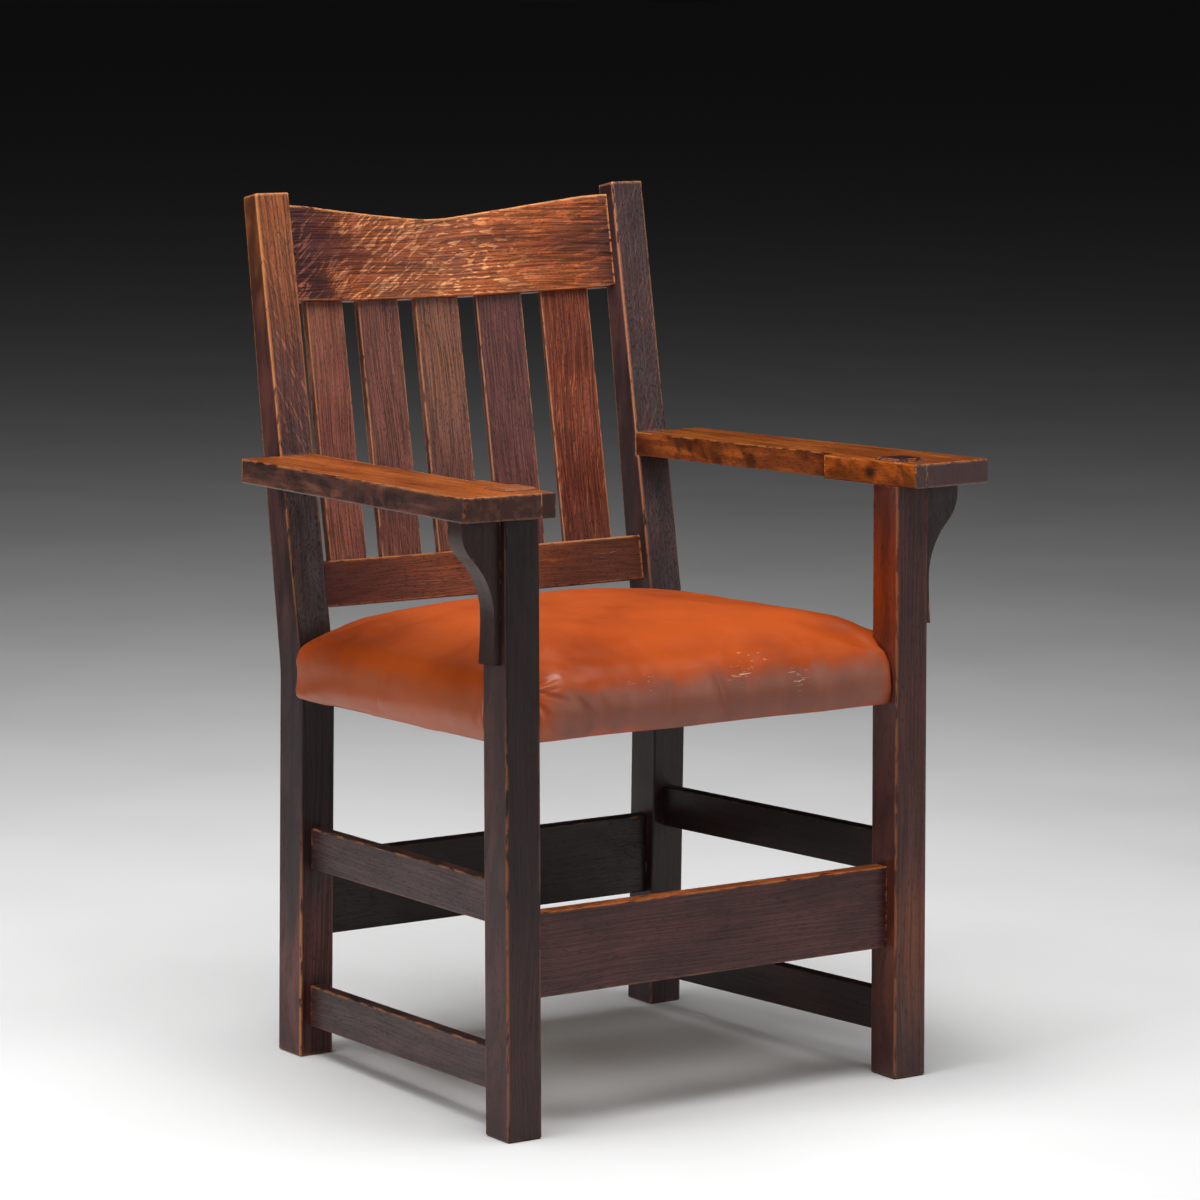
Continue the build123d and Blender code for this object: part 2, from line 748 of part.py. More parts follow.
def seat_outline(height, side_inset, front_inset, rear_inset, corner):
    """The seat's tapering outline at a height, as a face with rounded corners."""
    with BuildSketch(chair.offset(height)) as outline:
        near = seat_front + front_inset
        far = seat_back - rear_inset
        with BuildLine():
            Polyline(
                (side_inset - seat_half(near), near),
                (seat_half(near) - side_inset, near),
                (seat_half(far) - side_inset, far),
                (side_inset - seat_half(far), far),
                close=True,
            )
        make_face()
        fillet(outline.vertices(), radius=corner)
    return outline.sketch


def crowned_form(drop):
    """The seat's crowned body, drawn in evenly by drop."""
    with BuildPart() as form:
        for rise_share, side_share, front_share, rear_share, corner_share in crown_shares:
            front_inset = front_share * front_slope + drop
            rear_inset = rear_share * rear_slope + drop
            add(seat_outline(
                seat_bottom + drop + rise_share * (crown_height - 2 * drop),
                side_share * seat_front_half + drop,
                front_inset,
                rear_inset,
                seat_corner + corner_share * (seat_back - rear_inset - seat_front - front_inset) / 2,
            ))
        loft()
    return form.part


def post_notches(room, bottom):
    """Room round the four posts, from a height upwards."""
    low = min(seat_bottom, bend_height) - overrun
    high = max(seat_bottom + crown_height, bend_height) + overrun
    with BuildPart() as notches:
        for side in (-1, 1):
            with BuildSketch(chair.offset(low)):
                with Locations((side * (front_inner - room + post_size), room)):
                    Rectangle(2 * post_size, 2 * post_size)
            extrude(amount=high - low)
            with BuildSketch(side_view(side * (rear_inner - room))):
                with BuildLine():
                    Polyline(
                        (leg_depth(low) - room, low),
                        (frame_depth - room, bend_height),
                        (frame_depth - room + (high - bend_height) * rake_tan, high),
                        (frame_depth + 2 * post_size, high),
                        (frame_depth + 2 * post_size, low),
                        close=True,
                    )
                make_face()
            extrude(amount=side * 2 * post_size)
        split(bisect_by=chair.offset(bottom), keep=Keep.TOP)
    return notches.part


def slab(bottom, thickness, inset):
    """A flat tapering slab inside the seat's outline."""
    with BuildPart() as sheet:
        extrude(
            seat_outline(bottom, inset, inset, inset, seat_corner), amount=thickness, dir=chair.z_dir
        )
    return sheet.part


# Webbing and burlap over the rails
web_inset = seat_rail_cover + webbing_margin
cross_bottom = seat_rail_top + webbing_thickness
burlap_bottom = cross_bottom + webbing_thickness
burlap_top = burlap_bottom + burlap_thickness
with BuildPart() as long_webbing:
    with BuildSketch(chair.offset(seat_rail_top)):
        with Locations((0, (seat_front + seat_back) / 2)):
            with GridLocations(long_webbing_pitch, overrun, long_webbing_count, 1):
                Rectangle(webbing_width, seat_back - seat_front - 2 * web_inset)
    extrude(amount=webbing_thickness)
keep(long_webbing, "long_webbing")

with BuildPart() as cross_webbing:
    with BuildSketch(chair.offset(cross_bottom)):
        with Locations((0, (post_size + frame_depth) / 2)):
            with GridLocations(overrun, cross_webbing_pitch, 1, cross_webbing_count):
                Rectangle(2 * seat_rear_half - 2 * web_inset, webbing_width)
    extrude(amount=webbing_thickness)
keep(cross_webbing, "cross_webbing")

lining_room = post_clearance + leather + soft_clearance
with BuildPart() as seat_burlap:
    add(slab(burlap_bottom, burlap_thickness, web_inset))
    add(post_notches(lining_room, seat_bottom), mode=Mode.SUBTRACT)
keep(seat_burlap, "seat_burlap")

with BuildPart() as seat_stuffing:
    add(crowned_form(leather + soft_clearance))
    add(post_notches(lining_room, seat_bottom), mode=Mode.SUBTRACT)
    add(
        slab(seat_bottom, burlap_top - seat_bottom, seat_rail_cover - soft_clearance),
        mode=Mode.SUBTRACT,
    )
keep(seat_stuffing, "seat_stuffing")

# Leather cover: hollow over the stuffing, drawn down round the posts, its lip tacked under the rails
with BuildPart() as cavity:
    add(crowned_form(leather))
    add(post_notches(post_clearance + leather, burlap_bottom - webbing_thickness), mode=Mode.SUBTRACT)
with BuildPart() as seat_cover:
    add(crowned_form(0))
    add(post_notches(post_clearance, seat_bottom - overrun), mode=Mode.SUBTRACT)
    add(cavity.part, mode=Mode.SUBTRACT)
    add(slab(seat_bottom, leather, cover_lip), mode=Mode.SUBTRACT)
    add(tack_bores.part, mode=Mode.SUBTRACT)
keep(seat_cover, "seat_cover")
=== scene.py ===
import bmesh
import bpy
import math
from mathutils import Matrix, Vector, noise


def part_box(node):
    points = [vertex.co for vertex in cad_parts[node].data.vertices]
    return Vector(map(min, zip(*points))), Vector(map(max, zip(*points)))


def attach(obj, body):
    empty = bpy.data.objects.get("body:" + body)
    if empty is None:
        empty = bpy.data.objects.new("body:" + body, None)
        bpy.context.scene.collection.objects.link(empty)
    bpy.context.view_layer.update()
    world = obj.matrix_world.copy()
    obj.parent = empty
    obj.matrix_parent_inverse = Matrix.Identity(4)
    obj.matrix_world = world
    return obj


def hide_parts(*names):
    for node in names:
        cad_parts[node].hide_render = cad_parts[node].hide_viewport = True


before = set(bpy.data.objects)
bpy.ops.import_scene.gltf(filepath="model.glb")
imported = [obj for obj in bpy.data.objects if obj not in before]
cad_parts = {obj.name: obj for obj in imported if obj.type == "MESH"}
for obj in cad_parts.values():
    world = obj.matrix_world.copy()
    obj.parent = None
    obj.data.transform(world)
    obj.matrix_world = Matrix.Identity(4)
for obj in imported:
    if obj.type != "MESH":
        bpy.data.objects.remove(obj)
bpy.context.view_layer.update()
print("frame loaded:", len(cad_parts), "pieces")

# Camera, as the photograph was taken: a long lens, a little above the seat, to the chair's left front
cameraSetup = {
    "position": (-3.0029, -4.2710, 1.2810),
    "yaw": 35.448,
    "pitch": -8.593,
    "roll": 0.822,
    "lens": 149.56,
}


def placeCamera(setup):
    camera = bpy.data.cameras.new("camera")
    camera.lens = setup["lens"]
    camera.sensor_width = 36
    camera.clip_end = 200
    holder = bpy.data.objects.new("camera", camera)
    bpy.context.scene.collection.objects.link(holder)
    turn = Matrix.Rotation(math.radians(-setup["yaw"]), 4, "Z")
    turn @= Matrix.Rotation(math.radians(90 + setup["pitch"]), 4, "X")
    turn @= Matrix.Rotation(math.radians(setup["roll"]), 4, "Z")
    holder.matrix_world = Matrix.Translation(setup["position"]) @ turn
    bpy.context.scene.camera = holder


# Soft studio light: a broad box overhead, a tall one on the left and a low fill on the right
lightSetup = {
    "boxes": {
        "overhead": {"place": (-0.3, -0.2, 2.7), "aim": (0, 0, 0.5), "size": (2.4, 2.0), "power": 108},
        "leftBox": {"place": (-2.9, -0.2, 1.5), "aim": (0, 0, 0.6), "size": (1.4, 2.0), "power": 36},
        "rightFill": {"place": (2.2, -3.0, 1.5), "aim": (0, 0, 0.5), "size": (1.6, 1.6), "power": 20},
    },
    "room": "#c9cacd",
    "roomStrength": 0.007,
}


def placeLights(setup):
    for name, box in setup["boxes"].items():
        lamp = bpy.data.lights.new(name, "AREA")
        lamp.shape = "RECTANGLE"
        lamp.size, lamp.size_y = box["size"]
        lamp.energy = box["power"]
        holder = bpy.data.objects.new(name, lamp)
        bpy.context.scene.collection.objects.link(holder)
        holder.location = box["place"]
        way = Vector(box["aim"]) - Vector(box["place"])
        holder.rotation_euler = way.to_track_quat("-Z", "Y").to_euler()
    world = bpy.data.worlds.new("studio")
    world.use_nodes = True
    background = world.node_tree.nodes["Background"]
    background.inputs["Color"].default_value = linearColour(setup["room"])
    background.inputs["Strength"].default_value = setup["roomStrength"]
    bpy.context.scene.world = world


def linearColour(hexText):
    parts = [int(hexText[i:i + 2], 16) / 255 for i in (1, 3, 5)]
    return tuple(c / 12.92 if c <= 0.04045 else ((c + 0.055) / 1.055) ** 2.4 for c in parts) + (1,)


# Inputs are links, numbers or hex tones, in the order of the node's sockets or by their names
def addNode(tree, kind, inputs=(), output=0, **settings):
    node = tree.nodes.new("ShaderNode" + kind)
    for key, value in settings.items():
        setattr(node, key, value)
    for key, value in (inputs if isinstance(inputs, dict) else dict(enumerate(inputs))).items():
        if isinstance(value, bpy.types.NodeSocket):
            tree.links.new(value, node.inputs[key])
        else:
            node.inputs[key].default_value = linearColour(value) if isinstance(value, str) else value
    return node.outputs[output] if node.outputs else None


toneMix = {"output": 2, "data_type": "RGBA"}        # a Mix node's tones go in at sockets 6 and 7 and out at 2


def startMaterial(name):
    material = bpy.data.materials.new(name)
    material.use_nodes = True
    tree = material.node_tree
    tree.nodes.clear()
    return material, tree


def finishMaterial(tree, values):
    shader = addNode(tree, "BsdfPrincipled", values)
    addNode(tree, "OutputMaterial", {"Surface": shader})


def dress(name, material):
    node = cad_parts[name]
    node.data.materials.clear()
    node.data.materials.append(material)


placeCamera(cameraSetup)
placeLights(lightSetup)
bpy.context.scene.view_settings.view_transform = "Standard"

# Floor: painted board, matt, its gloss a little uneven
floorLook = {"size": 60, "tone": "#eeeeee", "roughness": (0.333, 0.611), "mottle": 333.33}   # mottle in mm
bpy.ops.object.select_all(action="DESELECT")
bpy.ops.mesh.primitive_plane_add(size=floorLook["size"], location=(0, 0, 0))
floor = bpy.context.active_object
floor.name = "floor"
floorPaint, tree = startMaterial("matt white studio floor")
place = addNode(tree, "TexCoord", output="Object")
cloud = addNode(tree, "TexNoise", {"Vector": place, "Scale": 1000 / floorLook["mottle"], "Detail": 2.0})
rough = addNode(tree, "MapRange", (cloud, 0, 1, *floorLook["roughness"]))
finishMaterial(tree, {"Base Color": floorLook["tone"], "Roughness": rough})
floor.data.materials.append(floorPaint)
print("camera, light and floor placed")

# Oak: quarter sawn white oak, fumed dark and waxed, then worn for a hundred years. It shows dark growth lines
# and open pores along the board, pale ray flecks, and edges rubbed through to raw wood. Patterns are in
# millimetres on the board: x runs along its grain, y across its face and z into it. Places are metres.
oakBasics = {
    "ring": 2.0,                # spacing of the growth lines on a quartered face
    "lineLong": 125.0,
    "ringsDeep": 10.0,          # how many rings deep a line keeps its shape
    "contrast": 0.6,            # how far the growth lines stand out
    "endContrast": 0.2,         # what is left of that on end grain
    "drift": (166.67, 83.333, 83.333),
    "wave": 12.8,               # how far the grain wanders sideways
    "flecks": (),               # fields of ray flecks on the quartered face
    "fleckCrowd": (100.0, 40.0, 100.0),     # flecks gather in places of such a size
    "shades": (),               # faces that have kept or lost their colour, and painted shade on faces that look down
    "patches": (),              # places that hands have rubbed, or that stayed dark
    "patchRagged": 0.6,         # how much the cloud frays their outline
    "poreDark": 0.60,
    "wear": 0.6,                # how much of the edges is worn through, 0 to 1
    "wearWidth": 3.2,
    "wearTone": "#b5703a",
    "wearShare": 0.9,
    "rub": (50.0, 20.0, 20.0),  # the wax's gloss changes over such sizes
    "smooth": 0.24,             # roughness where it has kept most gloss
    "rubbed": 0.30,             # how much rougher it gets from there
    "poreRough": 0.10,
    "relief": {"pore": -0.6, "line": 0.4, "chip": -1.5},
    "reliefDepth": 0.3,
}
boardStep = (317.0, 141.0, 73.0)    # each board is cut this far on from the last, so that no two are alike

# Size along, across and into the board, and the noise's detail
oakPatterns = {
    "cloud": ((120.0, 60.0, 60.0), 4.0),        # slow changes of tone
    "pore": ((9.0, 0.9, 0.9), 1.0),             # open pores, a little coarser than real ones, so they show
    "chip": ((22.222, 5.0, 5.0), 4.0),          # breaks in the wear along the edges
    "streak": ((100.0, 9.0909, 9.0909), 3.0),   # old stains
}

# Where each mask starts and where it is full. Noise mostly keeps between 0.3 and 0.7, a face that looks
# straight the named way counts 1, and the arris 1 where nothing is rounded
oakLimits = {
    "cloud": (0.36, 0.64),
    "shadedFace": (0.25, 0.50),
    "patch": (1.35, 0.55),
    "quartered": (0.6, 0.8),
    "fleckCloud": (0.25, 0.60),
    "line": (0.40, 0.60),
    "endGrain": (0.8, 0.5),
    "pore": (0.58, 0.66),
    "arris": (0.996, 0.95),
    "underside": (0.55, 0.10),
}
brokenShades = {"ragged": ("chip", 0.10), "drifting": ("streak", 0.15)}     # by which pattern, how softly
wearLimits = {"none": 0.64, "range": 0.30, "softness": 0.08}     # the chips' limit falls as wear rises
fleckLimits = {"none": 0.81, "range": 0.26, "softness": 0.022, "crowding": 0.14}


def makeOak(name, board, look):
    look = {**oakBasics, **look}
    material, tree = startMaterial(name)
    grain = Vector(board["grain"]).normalized()
    side = Vector(board["face"]).cross(grain).normalized()
    out = grain.cross(side)
    place = addNode(tree, "TexCoord", output="Object")
    normal = addNode(tree, "NewGeometry", output="True Normal")
    laid = addNode(tree, "Mapping", {
        "Vector": place, "Scale": (1000, 1000, 1000), "Rotation": Matrix((grain, side, out)).to_euler(),
        "Location": [step * board["seed"] for step in boardStep]})

    # The grain wanders: every pattern is read on a slightly shifted board
    slow = addNode(tree, "VectorMath", (laid, look["drift"]), operation="DIVIDE")
    drift = addNode(tree, "TexNoise", {"Vector": slow, "Scale": 1.0, "Detail": 1.0}, "Color")
    sideways = (0, look["wave"], look["wave"])
    point = addNode(tree, "VectorMath", (drift, sideways, laid), operation="MULTIPLY_ADD")
    lineSize = (look["lineLong"], look["ring"], look["ringsDeep"] * look["ring"])
    noises = {}
    for key, (size, detail) in {**oakPatterns, "line": (lineSize, 3.0)}.items():
        fitted = addNode(tree, "VectorMath", (point, size), operation="DIVIDE")
        noises[key] = addNode(tree, "TexNoise", {"Vector": fitted, "Scale": 1.0, "Detail": detail})
    mask = addNode(tree, "MapRange", (noises["cloud"], *oakLimits["cloud"]))
    colour = addNode(tree, "Mix", {0: mask, 6: look["body"], 7: look["light"]}, **toneMix)

    for shade in look["shades"]:
        way = Vector(shade["way"]).normalized()
        turned = addNode(tree, "VectorMath", (normal, way), "Value", operation="DOT_PRODUCT")
        mask = addNode(tree, "MapRange", (turned, *oakLimits["shadedFace"]))
        for key, (pattern, softness) in brokenShades.items():
            if key in shade:
                broken = addNode(tree, "MapRange", (noises[pattern], shade[key], shade[key] + softness))
                mask = addNode(tree, "Math", (mask, broken), operation="MULTIPLY")
        mask = addNode(tree, "Math", (mask, shade["share"]), operation="MULTIPLY")
        colour = addNode(tree, "Mix", {0: mask, 6: colour, 7: shade["tone"]}, **toneMix)

    sound = 1.0                 # where the edges have kept their finish
    for patch in look["patches"]:
        away = addNode(tree, "VectorMath", (place, patch["place"]), operation="SUBTRACT")
        share = addNode(tree, "VectorMath", (away, patch["reach"]), operation="DIVIDE")
        far = addNode(tree, "VectorMath", (share,), "Value", operation="LENGTH")
        ragged = addNode(tree, "Math", (noises["cloud"], look["patchRagged"], far), operation="MULTIPLY_ADD")
        mask = addNode(tree, "MapRange", (ragged, *oakLimits["patch"]), interpolation_type="SMOOTHSTEP")
        part = addNode(tree, "Math", (mask, patch["share"]), operation="MULTIPLY")
        colour = addNode(tree, "Mix", {0: part, 6: colour, 7: patch["tone"]}, **toneMix)
        if patch["sound"]:
            sound = addNode(tree, "Math", (sound, mask), operation="SUBTRACT")

    squarely = addNode(tree, "VectorMath", (normal, out), "Value", operation="DOT_PRODUCT")
    squarely = addNode(tree, "Math", (squarely,), operation="ABSOLUTE")
    quartered = addNode(tree, "MapRange", (squarely, *oakLimits["quartered"]))
    paler = addNode(tree, "MapRange", (noises["cloud"], *oakLimits["fleckCloud"]))
    along = addNode(tree, "VectorMath", (place, grain), "Value", operation="DOT_PRODUCT")
    for field in look["flecks"]:
        turn = (0, 0, -math.radians(field["turn"]))
        turned = addNode(tree, "Mapping", {"Vector": point, "Rotation": turn})
        fitted = addNode(tree, "VectorMath", (turned, field["size"]), operation="DIVIDE")
        spots = addNode(tree, "TexNoise", {"Vector": fitted, "Scale": 1.0, "Detail": 2.0, "Distortion": 0.6})
        fitted = addNode(tree, "VectorMath", (turned, look["fleckCrowd"]), operation="DIVIDE")
        crowd = addNode(tree, "TexNoise", {"Vector": fitted, "Scale": 1.0, "Detail": 1.0})
        raised = addNode(tree, "Math", (crowd, fleckLimits["crowding"], spots), operation="MULTIPLY_ADD")
        masks = [quartered, paler, field["strength"]]
        if "span" in field:
            rise, full, less, fall = field["span"]
            masks += [addNode(tree, "MapRange", (along, *limits)) for limits in ((rise, full), (fall, less))]
        showFrom = fleckLimits["none"] - fleckLimits["range"] * field["share"]
        mask = addNode(tree, "MapRange", (raised, showFrom, showFrom + fleckLimits["softness"]))
        for other in masks:
            mask = addNode(tree, "Math", (mask, other), operation="MULTIPLY")
        colour = addNode(tree, "Mix", {0: mask, 6: colour, 7: field["tone"]}, **toneMix)

    # Growth lines and pores darken what lies under them
    stripes = addNode(tree, "MapRange", (noises["line"], *oakLimits["line"], -0.5, 0.5))
    endOn = addNode(tree, "VectorMath", (normal, grain), "Value", operation="DOT_PRODUCT")
    endOn = addNode(tree, "Math", (endOn,), operation="ABSOLUTE")
    lengthways = addNode(tree, "MapRange", (endOn, *oakLimits["endGrain"], look["endContrast"], 1.0))
    stripes = addNode(tree, "Math", (stripes, lengthways), operation="MULTIPLY")
    poreMask = addNode(tree, "MapRange", (noises["pore"], *oakLimits["pore"]))
    for pattern, strength in ((stripes, look["contrast"]), (poreMask, -look["poreDark"])):
        factor = addNode(tree, "Math", (pattern, strength, 1.0), operation="MULTIPLY_ADD")
        colour = addNode(tree, "VectorMath", {0: colour, "Scale": factor}, operation="SCALE")

    # Worn arrises: the finish is rubbed through in broken lines, and not on the edges that face down
    rounded = addNode(tree, "Bevel", {"Radius": look["wearWidth"] / 1000}, samples=4)
    meeting = addNode(tree, "VectorMath", (rounded, normal), "Value", operation="DOT_PRODUCT")
    worn = addNode(tree, "MapRange", (meeting, *oakLimits["arris"]))
    wornFrom = wearLimits["none"] - wearLimits["range"] * look["wear"]
    broken = addNode(tree, "MapRange", (noises["chip"], wornFrom, wornFrom + wearLimits["softness"]))
    downward = addNode(tree, "VectorMath", (rounded, (0, 0, -1)), "Value", operation="DOT_PRODUCT")
    above = addNode(tree, "MapRange", (downward, *oakLimits["underside"]))
    sound = addNode(tree, "Math", (sound, 0.0), operation="MAXIMUM")
    for other in (broken, above, sound):
        worn = addNode(tree, "Math", (worn, other), operation="MULTIPLY")
    mask = addNode(tree, "Math", (worn, look["wearShare"]), operation="MULTIPLY")
    colour = addNode(tree, "Mix", {0: mask, 6: colour, 7: look["wearTone"]}, **toneMix)

    fitted = addNode(tree, "VectorMath", (laid, look["rub"]), operation="DIVIDE")
    rub = addNode(tree, "TexNoise", {"Vector": fitted, "Scale": 1.0, "Detail": 3.0})
    rough = addNode(tree, "Math", (rub, look["rubbed"], look["smooth"]), operation="MULTIPLY_ADD")
    rough = addNode(tree, "Math", (poreMask, look["poreRough"], rough), operation="MULTIPLY_ADD")
    chipped = addNode(tree, "Math", (worn, noises["chip"]), operation="MULTIPLY")
    depth = 0.0
    for pattern, key in ((poreMask, "pore"), (noises["line"], "line"), (chipped, "chip")):
        depth = addNode(tree, "Math", (pattern, look["relief"][key], depth), operation="MULTIPLY_ADD")
    bump = addNode(tree, "Bump", {"Height": depth, "Strength": 0.5, "Distance": look["reliefDepth"] / 1000})
    finishMaterial(tree, {
        "Base Color": colour, "Roughness": rough, "IOR": 1.5, "Specular IOR Level": 0.32, "Normal": bump})
    return material


across = (1, 0, 0)
forward = (0, -1, 0)
upright = (0, 0, 1)
fleckDeep = 25.0                # how far a ray fleck goes into the board


def patchOn(place, reach, tone, share=0.9, sound=False):
    return {"place": place, "reach": reach, "tone": tone, "share": share, "sound": sound}


# A field's share runs from 0, hardly a fleck, to 1, nearly all fleck. Its span is where it starts, is full,
# gets less and ends along the grain.
def fleckField(size, turn, share, tone, strength=0.8, span=None):
    field = {"size": (*size, fleckDeep), "turn": turn, "share": share, "tone": tone, "strength": strength}
    return {**field, "span": span} if span else field


# What each kind of piece looks like, then what is particular to one piece
woodLooks = {
    "dowel": {"grain": across, "face": upright, "body": "#8a5c34", "light": "#a3713f", "contrast": 0.3,
              "wear": 0.0},
    "crest_rail": {"grain": across, "face": forward, "body": "#70351b", "light": "#9a5228", "ring": 1.6,
                   "contrast": 1.0, "wear": 0.85, "wearTone": "#dc9458"},
    "lower_back_rail": {"grain": across, "face": forward, "body": "#7b3c1e", "light": "#8f4c26",
                        "ring": 1.1, "contrast": 0.55, "wear": 0.8},
    "arm": {"grain": forward, "face": upright, "body": "#70300c", "light": "#8f4816", "contrast": 0.9,
            "wear": 0.7, "wearTone": "#c4834c", "wearWidth": 2.6, "smooth": 0.18},
    "slat": {"grain": upright, "face": forward, "body": "#4a2823", "light": "#5e342b", "ring": 1.4,
             "contrast": 0.9, "wear": 0.85, "wearTone": "#cc8e62", "wearWidth": 2.6},
    "post": {"grain": upright, "face": forward, "body": "#351b17", "light": "#472823", "contrast": 0.6,
             "wear": 0.7, "wearTone": "#9c5a34"},
    "corbel": {"grain": upright, "face": forward, "body": "#2a1916", "light": "#36221d", "contrast": 0.3,
               "wear": 0.2},
    "stretcher": {"grain": across, "face": forward, "body": "#33191a", "light": "#462522", "contrast": 0.6,
                  "wear": 0.6},
    "seat_rail": {"grain": across, "face": forward, "body": "#a37f50", "light": "#bb9a6a", "contrast": 0.4,
                  "wear": 0.1, "wearTone": "#d8bd92", "smooth": 0.48},
}
darkEdge = "#38221f"
# Painted shade: faces that look down are darkened
paintedShadeUnder = {"way": (0.0, 0.0, -1.0), "tone": darkEdge, "share": 0.95}

# The knot on the inner face of the right arm's strip, and the swirl on both sides of it: share of the way
# from back to front, rise over the middle, reach, tone and strength
knotPlaces = (
    (0.51, 0.000, (0.03, 0.016, 0.013), "#1e0f0a", 0.95),
    (0.16, 0.004, (0.03, 0.008, 0.012), "#5a280e", 0.8),
    (0.80, -0.003, (0.03, 0.007, 0.012), "#5a280e", 0.8),
)
stripLow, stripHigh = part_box("right_arm_strip")
knots = []
for share, rise, reach, tone, strength in knotPlaces:
    knotAlong = stripHigh.y + share * (stripLow.y - stripHigh.y)
    knotUp = (stripLow.z + stripHigh.z) / 2 + rise
    knots.append(patchOn((stripLow.x, knotAlong, knotUp), reach, tone, strength))

